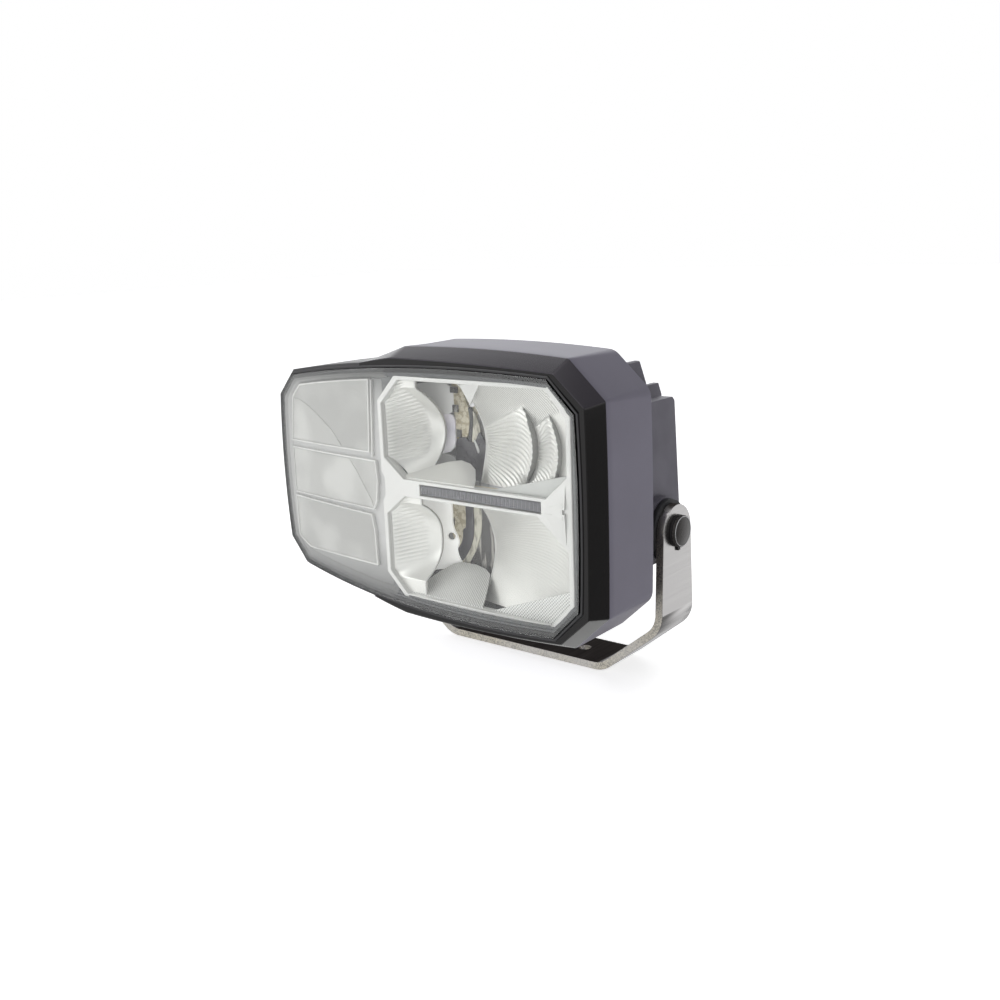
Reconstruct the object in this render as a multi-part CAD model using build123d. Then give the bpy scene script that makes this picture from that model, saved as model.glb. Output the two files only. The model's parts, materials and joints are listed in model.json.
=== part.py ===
from build123d import *
import os
from math import atan2, pi, radians, tan

# Heavy-duty LED lamp with a wrap-round indicator wing, held in a U bracket. Millimetres, +Z up.
# The part's origin is the middle of the bracket's underside; the lamp shines towards -Y.

# ---- U bracket -----------------------------------------------------------------------------
STEEL = 4.0             # bar thickness
PIVOT_Z = 76.0          # height of the tilt axis above the underside
ARM_INNER = 82.5        # inner face of each arm, from the middle
ARM_TOP_W = 26.0        # arm width at the pivot
BAR_W = 30.0            # bar width across the foot
FOOT_HALF = 50.0        # flat part of the foot, from the middle to the bend
BEND_RISE = 26.0        # height gained by the slanted part
BASE_HOLE_R = 5.25      # clearance hole for the M10 fixing bolt
LOCATING_HOLE_R = 3.25
LOCATING_HOLE_X = 30.0
BEND_R = 12.0           # inside radius of the bends

# ---- pivot hardware --------------------------------------------------------------------------
BOLT_R = 4.0            # M8
BORE_R = 4.08           # arm bore, a running fit on the bolt
BOLT_END = 60.0         # how far out from the middle each bolt starts
WASHER_R, WASHER_T = 8.0, 1.3
FLANGE_R, FLANGE_T = 7.9, 1.8
DOME_R, DOME_H = 7.3, 0.8
INSERT_R = 6.5
DISC_R = 15.0
PLAY = 0.05             # side play between disc and arm

# ---- where the head sits ---------------------------------------------------------------------
# Head parts are drawn about the middle of the lens: x across, y depth behind the lens, z up.
HEAD_X = -23.5
HEAD_Y = -75.5
HEAD_Z = 98.5
PIVOT = (-HEAD_X, -HEAD_Y, PIVOT_Z - HEAD_Z)

# ---- lens outline ----------------------------------------------------------------------------
LENS_HALF_W = 103.0
LENS_HALF_H = 61.6      # at the crown of the arched top and bottom edges
ARCH_X = 35.0           # where the arch is highest
ARCH_R = 830.0
RIGHT_CUT = 14.6        # corner cut, measured along the top edge
RIGHT_CORNER_Z = 45.0
RIGHT_BULGE = 1.2
LEFT_CUT = 13.0
LEFT_CORNER_Z = 40.0
LEFT_BULGE = 2.2
LENS_R = 980.0          # the lens face curves back towards the wing
LENS_VERTEX_X = 60.0
LENS_T = 3.0
SEAT_DEPTH = 3.8        # bottom of the seal groove, behind the lens face
GROOVE = 0.4            # gap round the lens

# ---- lamp body (tub behind the lens) -----------------------------------------------------------
RIM = 2.3               # rim outside the lens outline
RIM_SETBACK = 0.9
BODY_WALL = 2.6         # wall inside the lens outline
BODY_BACK = 46.0
BACK_WALL = 2.5
WING_CUT_Y = 28.0       # the wing's rear corner is cut from here
WING_CUT_X = -84.0
HEAT_WINDOW_X, HEAT_WINDOW_Z = (-6.0, 42.0), (-40.0, 40.0)
SCREW_R, SCREW_HEAD_R = 2.0, 3.5
VENT_AT = (-72.0, -22.0)

# ---- front shell -------------------------------------------------------------------------------
SHELL_WALL = 3.0
BEVEL_FRONT_Y = 1.2
BEVEL_BACK_Y = 13.8
SHELL_BACK = 51.8
SHELL_LEFT_X = -31.0    # the shell runs out into the wing here
SHELL_SHOULDER_X = -7.0
SHELL_RIGHT_CUT_X = 91.8
FRONT_CORNER_R = 2.0
REAR_CORNER_R = 9.0

# ---- rear housing ------------------------------------------------------------------------------
GASKET_T = 0.8
PLATE_T = 4.0
PLATE_LEFT_X = -56.0
BRIDGE_X, BRIDGE_Z = -27.0, 58.6    # where the plate passes under the shell's run-out
CHEEK_FACE = 75.4       # outer face of each side cheek, from the pivot's middle plane
CHEEK_T = 8.0
FIN_T = 3.0
FIN_ROOT_Y = 60.0
FIN_BACK_Y = 99.0
FIN_COUNT = 15
FIN_TOP, FIN_CUT = 57.0, 6.0
OUTER_FIN_TOP, OUTER_FIN_CUT = 46.0, 3.0
OUTER_FINS = 60.0       # fins further out than this are shorter, to follow the cut corners
CHEEK_TOP = 40.5
CHEEK_BACK = (92.2, 96.2)   # depth of the cheek's leaning back edge, near its top and at the pivot
CORE_HALF_Z, CORE_TALL_Z = 41.0, 54.0
BOSS_R = 16.0
BOSS_T = 4.0
COLLAR_T = 3.0          # wall round each threaded insert
BAY_X, BAY_Z = (-1.0, 48.0), (-52.0, -10.0)   # clear bay among the fins for the connector
BAY_FLOOR_Y = 64.0
CONNECTOR_AT = (23.5, -30.0)
CONNECTOR_LENGTH = 26.0
CONNECTOR_SCREW_DX = (-15.1, 15.1)

# ---- optics ------------------------------------------------------------------------------------
BEZEL_Y = 6.8
BEZEL_T = 2.2
CELL_LEFT, CELL_RIGHT = -17.5, 94.5
LEFT_BOWL_EDGE = 4.0
RIGHT_BOWL_EDGE = 31.0
UPPER_CELL = (4.5, 54.0)
LOWER_CELL = (-55.5, -4.5)
BOWL_DEPTH = 27.0
BOWL_T = 1.5
BAR_LEFT, BAR_RIGHT = 6.0, 79.3
BAR_HALF_H = 2.4
BAR_RIBS = 36
DRL_BOARD_Y = 16.0
BOARD_Y = 36.4
BOARD_T = 1.6
SPREADER_Y = BOARD_Y + BOARD_T
SPREADER_T = 3.0
WING_RIGHT = -24.5      # right end of the indicator chambers
DIVIDERS = (13.5, -16.0)
TRAY_BACK = 31.0
DRIVER_Y = 39.0

TALL = 400.0            # longer than anything, for cutting blocks


# ---- helpers -----------------------------------------------------------------------------------
def slab(sketch, y_front, y_back):
    """Extrudes a sketch drawn in (x, z) between two depths."""
    plane = Plane(origin=(0, y_back, 0), x_dir=(1, 0, 0), z_dir=(0, -1, 0))
    return extrude(plane * sketch, amount=y_back - y_front)


def box(x0, x1, y0, y1, z0, z1):
    """A block given by its corners."""
    middle = ((x0 + x1) / 2, (y0 + y1) / 2, (z0 + z1) / 2)
    return Pos(*middle) * Box(abs(x1 - x0), abs(y1 - y0), abs(z1 - z0))


def rod_y(x, z, radius, y0, y1):
    """A round bar along the depth."""
    return Pos(x, (y0 + y1) / 2, z) * Rot(90, 0, 0) * Cylinder(radius, abs(y1 - y0))


def rod_x(y, z, radius, x0, x1):
    """A round bar along the width."""
    return Pos((x0 + x1) / 2, y, z) * Rot(0, 90, 0) * Cylinder(radius, abs(x1 - x0))


def behind_lens(setback):
    """Everything at least this far behind the curved lens face."""
    return Pos(LENS_VERTEX_X, LENS_R, 0) * Cylinder(LENS_R - setback, TALL)


def layer(sketch, front, back):
    """The part of an outline between two depths that both follow the lens curve."""
    return (slab(sketch, -10, back + 30) & behind_lens(front)) - behind_lens(back)


def arch(x):
    """Half height of the lens outline at x."""
    return LENS_HALF_H - (x - ARCH_X) ** 2 / (2 * ARCH_R)


def closed_outline(points, bulges):
    """A closed outline through the points; a bulge bows that side outwards by its height."""
    edges = []
    for i, start in enumerate(points):
        end = points[(i + 1) % len(points)]
        bulge = bulges[i]
        if bulge:
            a, b = Vector(*start), Vector(*end)
            along = (b - a).normalized()
            middle = (a + b) / 2 + Vector(-along.Y, along.X) * bulge
            edges.append(ThreePointArc(a, middle, b))
        else:
            edges.append(Line(start, end))
    return make_face(edges)


def sagitta(half_chord, radius=ARCH_R):
    """Height of an arc over its chord."""
    return radius - (radius ** 2 - half_chord ** 2) ** 0.5


def outline(grow):
    """The lens outline, grown (or shrunk) evenly."""
    slide = grow * tan(radians(22.5))
    x_right = LENS_HALF_W - RIGHT_CUT
    x_left = -LENS_HALF_W + LEFT_CUT
    top_right = (x_right + slide, arch(x_right) + grow)
    top_left = (x_left - slide, arch(x_left) + grow)
    side_right = (LENS_HALF_W + grow, RIGHT_CORNER_Z + slide)
    side_left = (-LENS_HALF_W - grow, LEFT_CORNER_Z + slide)
    crown = sagitta((x_right - x_left) / 2)
    points = [top_right, top_left, side_left, (side_left[0], -side_left[1]),
              (top_left[0], -top_left[1]), (top_right[0], -top_right[1]),
              (side_right[0], -side_right[1]), side_right]
    bulges = [-crown, 0, -LEFT_BULGE, 0, -crown, 0, -RIGHT_BULGE, 0]
    return closed_outline(points, bulges)


def shell_outline(front, inset=0.0, corner=0.0):
    """Outline of the front shell, at the front of its bevel or behind it."""
    slide = inset * tan(radians(22.5))
    if front:
        run_out, shoulder, corner_z, side_x, side_z = 61.2, 64.0, 61.9, 107.0, 47.5
    else:
        run_out, shoulder, corner_z, side_x, side_z = 61.9, 69.7, 67.5, 111.0, 49.6
    x_corner = SHELL_RIGHT_CUT_X - slide
    points = [(x_corner, corner_z - inset), (SHELL_SHOULDER_X, shoulder - inset),
              (SHELL_LEFT_X + inset, run_out - inset)]
    points += [(x, -z) for x, z in reversed(points)]
    points += [(side_x - inset, -side_z + slide), (side_x - inset, side_z - slide)]
    crown = sagitta((x_corner - SHELL_SHOULDER_X) / 2)
    bulges = [-crown, 0, 0, 0, -crown, 0, -RIGHT_BULGE / 2, 0]
    face = closed_outline(points, bulges)
    if corner:
        face = fillet([v for v in face.vertices() if v.X > SHELL_SHOULDER_X - 1], corner)
    return face


def at_depth(sketch, y):
    """Stands a sketch drawn in (x, z) at one depth."""
    return Plane(origin=(0, y, 0), x_dir=(1, 0, 0), z_dir=(0, -1, 0)) * sketch


def plan_cut(inset=0.0):
    """The lamp body seen from above: the wing's rear corner is cut away."""
    left, right = -120.0, 130.0
    back = BODY_BACK - inset
    points = [(left, -20), (left, WING_CUT_Y - 12 - inset), (-LENS_HALF_W, WING_CUT_Y - inset),
              (WING_CUT_X + inset, back), (right, back), (right, -20)]
    return Pos(0, 0, -TALL / 2) * extrude(make_face(Polyline(points, close=True)), amount=TALL)


# ---- fixed body: bracket and its washers -------------------------------------------------------
def make_bracket():
    """U bar bent from flat steel: flat foot, two slanted runs, two round-topped arms."""
    slope = atan2(BEND_RISE, ARM_INNER - FOOT_HALF)
    foot_shift = STEEL * tan(slope / 2)
    arm_shift = STEEL * tan((pi / 2 - slope) / 2)
    top = PIVOT_Z + 20
    inner = [(FOOT_HALF, STEEL), (ARM_INNER, STEEL + BEND_RISE), (ARM_INNER, top)]
    outer = [(FOOT_HALF + foot_shift, 0), (ARM_INNER + STEEL, STEEL + BEND_RISE - arm_shift),
             (ARM_INNER + STEEL, top)]
    half = inner[::-1]
    upper_line = FilletPolyline(*half, *[(-x, z) for x, z in inner], radius=BEND_R)
    half = outer[::-1]
    lower_line = FilletPolyline(*half, *[(-x, z) for x, z in outer], radius=BEND_R + STEEL)
    caps = [Line(inner[-1], outer[-1]), Line((-inner[-1][0], top), (-outer[-1][0], top))]
    section = make_face([upper_line, lower_line, *caps])
    bar = slab(section, -BAR_W / 2, BAR_W / 2)
    taper = [(-BAR_W / 2, -5), (-BAR_W / 2, STEEL + BEND_RISE), (-ARM_TOP_W / 2, PIVOT_Z)]
    taper += [(-y, z) for y, z in reversed(taper)]
    side_view = make_face(Polyline(taper, close=True)) + Pos(0, PIVOT_Z) * Circle(ARM_TOP_W / 2)
    bar &= Plane.YZ.offset(-150) * extrude(side_view, amount=300)
    bar -= rod_x(0, PIVOT_Z, BORE_R, -100, 100)
    bar -= Cylinder(BASE_HOLE_R, 20)
    for side in (-1, 1):
        bar -= Pos(side * LOCATING_HOLE_X, 0, 0) * Cylinder(LOCATING_HOLE_R, 20)
    return bar


def make_pivot_washers():
    """A tab washer outside each arm."""
    parts = []
    outer_face = ARM_INNER + STEEL
    for side in (-1, 1):
        x0, x1 = side * outer_face, side * (outer_face + WASHER_T)
        ring = rod_x(0, PIVOT_Z, WASHER_R, x0, x1) - rod_x(0, PIVOT_Z, BORE_R, x0, x1)
        tab_z = PIVOT_Z - WASHER_R
        tab = box(x0, side * (outer_face + 1.0), -1.2, 1.2, tab_z - 1.8, tab_z + 1.0)
        parts.append(ring + tab)
    return parts


# ---- head: pivot hardware (drawn about the pivot, like the bracket) ------------------------------
def make_pivot_bolts():
    """M8 bolts with low domed heads, through the arms into the housing."""
    seat = ARM_INNER + STEEL + WASHER_T - BOLT_END
    rim = seat + FLANGE_T
    curve = (DOME_R ** 2 + DOME_H ** 2) / (2 * DOME_H)
    halfway = DOME_R / 2
    crown = (halfway, rim + DOME_H - curve + (curve ** 2 - halfway ** 2) ** 0.5)
    profile = [Polyline((0, rim + DOME_H), (0, 0), (BOLT_R, 0), (BOLT_R, seat), (FLANGE_R, seat),
                        (FLANGE_R, rim), (DOME_R, rim)),
               ThreePointArc((DOME_R, rim), crown, (0, rim + DOME_H))]
    bolt = revolve(Plane.XZ * make_face(profile), axis=Axis.Z)
    return [Pos(side * BOLT_END, 0, PIVOT_Z) * Rot(0, side * 90, 0) * bolt for side in (-1, 1)]


def make_friction_discs():
    """Black discs clamped between the housing bosses and the arms."""
    parts = []
    for side in (-1, 1):
        x0, x1 = side * (CHEEK_FACE + BOSS_T), side * (ARM_INNER - PLAY)
        disc = rod_x(0, PIVOT_Z, DISC_R, x0, x1) - rod_x(0, PIVOT_Z, BOLT_R, x0, x1)
        parts.append(disc)
    return parts


def make_threaded_inserts():
    """Steel inserts in the cheeks that take the pivot bolts."""
    parts = []
    for side in (-1, 1):
        x0, x1 = side * (BOLT_END - 2), side * (CHEEK_FACE + BOSS_T)
        insert = rod_x(0, PIVOT_Z, INSERT_R, x0, x1)
        insert -= rod_x(0, PIVOT_Z, BOLT_R, side * BOLT_END, x1)
        parts.append(insert)
    return parts


# ---- head: body, lens and shell (drawn about the middle of the lens) ----------------------------
def make_lamp_body():
    """Black tub behind the lens, with the rim, lens pocket, back wall and heat path window."""
    tub = slab(outline(RIM), -10, BODY_BACK) & behind_lens(RIM_SETBACK) & plan_cut()
    bevel = slab(outline(RIM), -10, BODY_BACK) - slab(outline(RIM - 1.3), -10, BODY_BACK)
    tub -= bevel - behind_lens(RIM_SETBACK + 1.6)
    tub -= slab(outline(0), -10, BODY_BACK + 5) - behind_lens(SEAT_DEPTH)
    cavity = slab(outline(-BODY_WALL), -10, BODY_BACK - BACK_WALL) & plan_cut(BACK_WALL)
    tub -= cavity
    tub -= box(*HEAT_WINDOW_X, BODY_BACK - 5, BODY_BACK + 5, *HEAT_WINDOW_Z)
    for x, z in body_screws():
        tub -= rod_y(x, z, SCREW_R, BODY_BACK - 8, BODY_BACK + 1)
    tub -= rod_y(*VENT_AT, 3.0, BODY_BACK - 6, BODY_BACK + 1)
    return tub


def body_screws():
    """Where the rear housing is screwed to the lamp body."""
    places = [(x, arch(x) - 0.3) for x in (-46.0, -14.0, 35.0, 80.0)]
    return places + [(x, -z) for x, z in places]


def make_outer_lens():
    """Clear cover, curved round a vertical axis."""
    return layer(outline(-GROOVE), 0, LENS_T)


def make_lens_seal():
    """Rubber ring under the lens edge."""
    return layer(outline(-0.6), LENS_T, SEAT_DEPTH) - slab(outline(-2.3), -10, 60)


def make_lens_frame():
    """Dark mask just inside the lens edge, with two steps."""
    outer = layer(outline(-BODY_WALL), LENS_T + 0.4, 9.0) - slab(outline(-3.6), -10, 60)
    inner = layer(outline(-3.6), LENS_T + 1.4, 9.0) - slab(outline(-4.7), -10, 60)
    return outer + inner


def make_front_shell():
    """Painted shell round the main lamp: bevel, walls and a run-out into the wing."""
    edge = shell_outline(False, corner=FRONT_CORNER_R)
    outer = loft([at_depth(shell_outline(True, corner=FRONT_CORNER_R), BEVEL_FRONT_Y),
                  at_depth(edge, BEVEL_BACK_Y)], ruled=True)
    outer += loft([at_depth(edge, BEVEL_BACK_Y),
                   at_depth(shell_outline(False, corner=REAR_CORNER_R), SHELL_BACK)], ruled=True)
    hollow = loft([at_depth(shell_outline(True, SHELL_WALL), BEVEL_FRONT_Y + 4),
                   at_depth(shell_outline(False, SHELL_WALL), BEVEL_BACK_Y + 2)], ruled=True)
    hollow += slab(shell_outline(False, SHELL_WALL), BEVEL_BACK_Y + 2, SHELL_BACK + 5)
    shell = (outer & behind_lens(RIM_SETBACK + 0.3)) - hollow
    shell -= slab(outline(RIM + 0.15), -10, BODY_BACK + 0.15)
    return shell - box(SHELL_LEFT_X - 5, BRIDGE_X + 1, BODY_BACK, SHELL_BACK + 5, -BRIDGE_Z, BRIDGE_Z)


# ---- head: rear housing ---------------------------------------------------------------------------
def upright(x0, x1, profile):
    """A plate between two widths; its profile is drawn in (y, z)."""
    face = Plane.YZ.offset(min(x0, x1)) * make_face(Polyline(profile, close=True))
    return extrude(face, amount=abs(x1 - x0))


def fin(x):
    """An upright fin with its rear corners cut back; the outer fins are shorter."""
    if abs(x - PIVOT[0]) > OUTER_FINS:
        top, cut = OUTER_FIN_TOP, OUTER_FIN_CUT
    else:
        top, cut = FIN_TOP, FIN_CUT
    profile = [(FIN_ROOT_Y - 1, top), (FIN_BACK_Y - cut, top), (FIN_BACK_Y, top - 2 * cut)]
    profile += [(y, -z) for y, z in reversed(profile)]
    return upright(x - FIN_T / 2, x + FIN_T / 2, profile)


def cheek(x0, x1):
    """A side cheek; its back edge leans outwards down to the pivot."""
    upper, lower = CHEEK_BACK
    profile = [(FIN_ROOT_Y - 1, CHEEK_TOP), (upper - 2, CHEEK_TOP), (upper, CHEEK_TOP - 2),
               (lower, PIVOT[2] + 10), (lower, 4 - CHEEK_TOP), (lower - 3, -CHEEK_TOP),
               (FIN_ROOT_Y - 1, -CHEEK_TOP)]
    return upright(x0, x1, profile)


def make_rear_housing():
    """Die-cast heat sink: cover plate, upright fins, and two cheeks with the pivot bosses."""
    y0 = BODY_BACK + GASKET_T
    plate = slab(shell_outline(False, SHELL_WALL + 0.3), y0, y0 + PLATE_T)
    plate += slab(outline(0.8), y0, y0 + PLATE_T) & box(PLATE_LEFT_X, SHELL_LEFT_X - 0.3, 0, 90, -90, 90)
    plate += box(SHELL_LEFT_X - 1, BRIDGE_X, y0, y0 + PLATE_T, -BRIDGE_Z + 0.3, BRIDGE_Z - 0.3)
    middle = PIVOT[0]
    core = box(middle - CHEEK_FACE, middle + CHEEK_FACE, y0 + PLATE_T, FIN_ROOT_Y,
               -CORE_HALF_Z, CORE_HALF_Z)
    core += box(middle - OUTER_FINS, middle + OUTER_FINS, y0 + PLATE_T, FIN_ROOT_Y,
                -CORE_TALL_Z, CORE_TALL_Z)
    housing = plate + core
    pitch = (2 * CHEEK_FACE - CHEEK_T) / (FIN_COUNT + 1)
    first = middle - CHEEK_FACE + CHEEK_T / 2
    for i in range(1, FIN_COUNT + 1):
        housing += fin(first + i * pitch)
    for side in (-1, 1):
        inner, outer = middle + side * (CHEEK_FACE - CHEEK_T), middle + side * CHEEK_FACE
        housing += cheek(inner, outer)
        y, z = PIVOT[1], PIVOT[2]
        housing += rod_x(y, z, BOSS_R, outer, outer + side * BOSS_T)
        housing += rod_x(y, z, INSERT_R + COLLAR_T, middle + side * (BOLT_END - 5), inner)
        housing -= rod_x(y, z, INSERT_R, middle + side * (BOLT_END - 2), outer + side * (BOSS_T + 1))
    bay = box(*BAY_X, FIN_ROOT_Y, FIN_BACK_Y + 5, *BAY_Z)
    housing -= bay
    housing += box(*BAY_X, FIN_ROOT_Y - 1, BAY_FLOOR_Y, *BAY_Z)
    housing -= rod_y(*CONNECTOR_AT, 5.0, BODY_BACK, BAY_FLOOR_Y + 1)
    for dx in CONNECTOR_SCREW_DX:
        housing -= rod_y(CONNECTOR_AT[0] + dx, CONNECTOR_AT[1], 1.25, BAY_FLOOR_Y - 3, BAY_FLOOR_Y + 1)
    for x, z in body_screws():
        housing -= rod_y(x, z, SCREW_R, BODY_BACK, y0 + PLATE_T + 1)
        housing -= rod_y(x, z, SCREW_HEAD_R + 0.3, y0 + PLATE_T, FIN_BACK_Y + 5)
    return housing


def make_rear_gasket():
    """Flat gasket between lamp body and rear housing."""
    y0, y1 = BODY_BACK, BODY_BACK + GASKET_T
    ring = slab(outline(-0.9), y0, y1) & box(PLATE_LEFT_X, 110, 0, 90, -90, 90)
    ring -= box(-45, 88, 0, 90, -52, 52)
    for x, z in body_screws():
        ring -= rod_y(x, z, SCREW_R, y0 - 1, y1 + 1)
    return ring


def make_housing_screws():
    """Cap screws through the rear housing into the lamp body."""
    seat = BODY_BACK + GASKET_T + PLATE_T
    parts = []
    for x, z in body_screws():
        screw = rod_y(x, z, SCREW_R, BODY_BACK - 8, seat) + rod_y(x, z, SCREW_HEAD_R, seat, seat + 4)
        parts.append(screw - rod_y(x, z, 1.5, seat + 2, seat + 5))
    return parts


def make_breather_vent():
    """Pressed-in cap with a membrane, behind the wing."""
    x, z = VENT_AT
    cap = rod_y(x, z, 7.0, BODY_BACK, BODY_BACK + 3.5) + rod_y(x, z, 3.0, BODY_BACK - 5, BODY_BACK)
    return cap - rod_y(x, z, 1.2, BODY_BACK - 6, BODY_BACK + 2)


def make_connector():
    """Six-way socket standing on the floor of the bay."""
    x, z = CONNECTOR_AT
    y0 = BAY_FLOOR_Y
    flange = box(x - 17, x + 17, y0, y0 + 3, z - 12, z + 12)
    shroud = box(x - 13, x + 13, y0 + 3, y0 + CONNECTOR_LENGTH, z - 8.5, z + 8.5)
    shroud -= box(x - 11.2, x + 11.2, y0 + 5, y0 + CONNECTOR_LENGTH + 1, z - 6.7, z + 6.7)
    shroud += box(x - 4, x + 4, y0 + 8, y0 + CONNECTOR_LENGTH - 2, z + 8.5, z + 10.5)
    spigot = rod_y(x, z, 5.0, BODY_BACK + GASKET_T, y0)
    socket = flange + shroud + spigot
    for px, pz in pin_places():
        socket -= rod_y(px, pz, 0.75, BODY_BACK, y0 + 6)
    for dx in CONNECTOR_SCREW_DX:
        socket -= rod_y(x + dx, z, 1.25, y0 - 1, y0 + 4)
    return socket


def pin_places():
    """The connector's two rows of three pins."""
    x, z = CONNECTOR_AT
    return [(x + dx, z + dz) for dx in (-3.2, 0.0, 3.2) for dz in (-1.8, 1.8)]


def make_connector_pins():
    """Blade pins standing in the socket."""
    return [rod_y(x, z, 0.75, BODY_BACK + GASKET_T, BAY_FLOOR_Y + 16) for x, z in pin_places()]


def make_connector_screws():
    """Two screws that hold the socket's flange."""
    x, z = CONNECTOR_AT
    y0 = BAY_FLOOR_Y
    return [rod_y(x + dx, z, 1.25, y0 - 3, y0 + 3) + rod_y(x + dx, z, 1.7, y0 + 3, y0 + 5)
            for dx in CONNECTOR_SCREW_DX]


# ---- head: optics -----------------------------------------------------------------------------
def octagon(left, right, low, high, cuts):
    """A rectangle with cut corners; cuts are (top_left, top_right, low_right, low_left) as (x, z)."""
    top_left, top_right, low_right, low_left = cuts
    points = [(left, high - top_left[1]), (left + top_left[0], high), (right - top_right[0], high),
              (right, high - top_right[1]), (right, low + low_right[1]), (right - low_right[0], low),
              (left + low_left[0], low), (left, low + low_left[1])]
    return make_face(Polyline(points, close=True))


def upper_cell(grow=0.0):
    """Outline of the upper opening."""
    low, high = UPPER_CELL
    return octagon(CELL_LEFT - grow, CELL_RIGHT + grow, low - grow, high + grow,
                   ((12, 12), (11, 12), (12, 11), (12.5, 10)))


def lower_cell(grow=0.0):
    """Outline of the lower opening."""
    low, high = LOWER_CELL
    return octagon(CELL_LEFT - grow, CELL_RIGHT + grow, low - grow, high + grow,
                   ((12.5, 10), (17, 14), (11, 11), (11, 11)))


def make_inner_bezel():
    """Bright trim plate: one octagonal opening over another, with the light bar's slot between."""
    face = octagon(CELL_LEFT - 2.6, CELL_RIGHT + 2.6, -57.6, 56.2, ((12.5, 13), (12, 13), (12, 12), (12, 12)))
    face -= upper_cell() + lower_cell()
    plate = slab(face, BEZEL_Y, BEZEL_Y + BEZEL_T) & slab(outline(-4.8), -10, 60)
    rims = (upper_cell(1.2) - upper_cell()) + (lower_cell(1.2) - lower_cell())
    plate += slab(rims, BEZEL_Y, BEZEL_Y + 6) & slab(outline(-4.8), -10, 60)
    return plate - box(BAR_LEFT, BAR_RIGHT, 0, 30, -BAR_HALF_H, BAR_HALF_H)


def make_drl_light_guide():
    """Ribbed light bar across the middle."""
    bar = box(BAR_LEFT, BAR_RIGHT, BEZEL_Y + 0.4, DRL_BOARD_Y, -BAR_HALF_H, BAR_HALF_H)
    pitch = (BAR_RIGHT - BAR_LEFT) / BAR_RIBS
    for i in range(BAR_RIBS):
        x = BAR_LEFT + (i + 0.5) * pitch
        bar -= box(x - 0.2, x + 0.2, 0, BEZEL_Y + 0.9, -BAR_HALF_H + 0.5, BAR_HALF_H - 0.5)
    return bar


def make_drl_board():
    """Board behind the light bar."""
    return box(BAR_LEFT - 3, BAR_RIGHT + 3, DRL_BOARD_Y, DRL_BOARD_Y + BOARD_T, -3.4, 3.4)


def make_drl_leds():
    """Row of LEDs let into the back of the board."""
    pitch = (BAR_RIGHT - BAR_LEFT) / 8
    y0 = DRL_BOARD_Y + BOARD_T
    return [box(x - 1.4, x + 1.4, y0, y0 + 0.8, -1.4, 1.4)
            for x in (BAR_LEFT + (i + 0.5) * pitch for i in range(8))]


def ellipsoid(half, centre):
    """A stretched sphere."""
    return Pos(*centre) * scale(Sphere(1.0), by=half)


def make_reflector(cell, z_span, left):
    """A bowl cut off by the lamp's middle channel, on two posts."""
    low, high = z_span
    z = (low + high) / 2
    front = BEZEL_Y + BEZEL_T + 0.1
    edge = LEFT_BOWL_EDGE if left else RIGHT_BOWL_EDGE
    reach = (edge - CELL_LEFT) if left else (CELL_RIGHT - edge)
    half = (reach + 1.0, BOWL_DEPTH, (high - low) / 2 + 3.0)
    outer = ellipsoid(tuple(h + BOWL_T for h in half), (edge, front, z))
    inner = ellipsoid(half, (edge, front, z))
    side = box(-100, edge, front, 90, -90, 90) if left else box(edge, 200, front, 90, -90, 90)
    bowl = (outer - inner) & slab(cell(-0.2), front, 60) & side
    post_x = edge - 0.45 * reach if left else edge + 0.42 * reach
    for dz in (-12, 12):
        post = rod_y(post_x, z + dz, 2.6, front + 8, SPREADER_Y)
        bowl += post - outer
        bowl -= rod_y(post_x, z + dz, 1.0, SPREADER_Y - 3, SPREADER_Y + 1)
    return bowl


def reflector_posts():
    """Where the four reflectors' posts land on the spreader."""
    places = []
    for low, high in (UPPER_CELL, LOWER_CELL):
        z = (low + high) / 2
        left_x = LEFT_BOWL_EDGE - 0.45 * (LEFT_BOWL_EDGE - CELL_LEFT)
        right_x = RIGHT_BOWL_EDGE + 0.42 * (CELL_RIGHT - RIGHT_BOWL_EDGE)
        places += [(x, z + dz) for x in (left_x, right_x) for dz in (-12, 12)]
    return places


def make_reflector_screws():
    """Screws through the spreader into the reflector posts."""
    y0, y1 = SPREADER_Y - 3, SPREADER_Y + SPREADER_T
    return [rod_y(x, z, 1.0, y0, y1) + rod_y(x, z, 2.0, y1, y1 + 1.6) for x, z in reflector_posts()]


def make_heat_spreader():
    """Aluminium plate behind the boards, with a block that passes to the rear housing."""
    y1 = SPREADER_Y + SPREADER_T
    plate = box(-15, 92, SPREADER_Y, y1, -50, 50)
    block = box(HEAT_WINDOW_X[0] + 8, HEAT_WINDOW_X[1] - 1, y1, BODY_BACK + GASKET_T,
                HEAT_WINDOW_Z[0] + 1, HEAT_WINDOW_Z[1] - 1)
    plate += block
    for x, z in reflector_posts():
        plate -= rod_y(x, z, 1.0, SPREADER_Y - 1, y1 + 1)
    for x, z in board_holes():
        plate -= rod_y(x, z, 1.0, SPREADER_Y - 1, SPREADER_Y + 2.5)
    return plate


def board_holes():
    """Fixing holes of the two LED boards."""
    return [(17.5, z) for z in (-40.0, -12.0, 12.0, 40.0)]


def make_led_board(z_span):
    """White board in the middle channel, facing forward."""
    low, high = z_span
    board = box(LEFT_BOWL_EDGE + 0.5, RIGHT_BOWL_EDGE - 0.5, BOARD_Y, SPREADER_Y, low + 1, high - 1)
    for x, z in board_holes():
        board -= rod_y(x, z, 1.0, 0, 60)
    return board


def make_board_screws():
    """Small screws that hold the LED boards."""
    return [rod_y(x, z, 1.0, BOARD_Y, SPREADER_Y + 2.5) + rod_y(x, z, 1.9, BOARD_Y - 1.2, BOARD_Y)
            for x, z in board_holes()]


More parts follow.
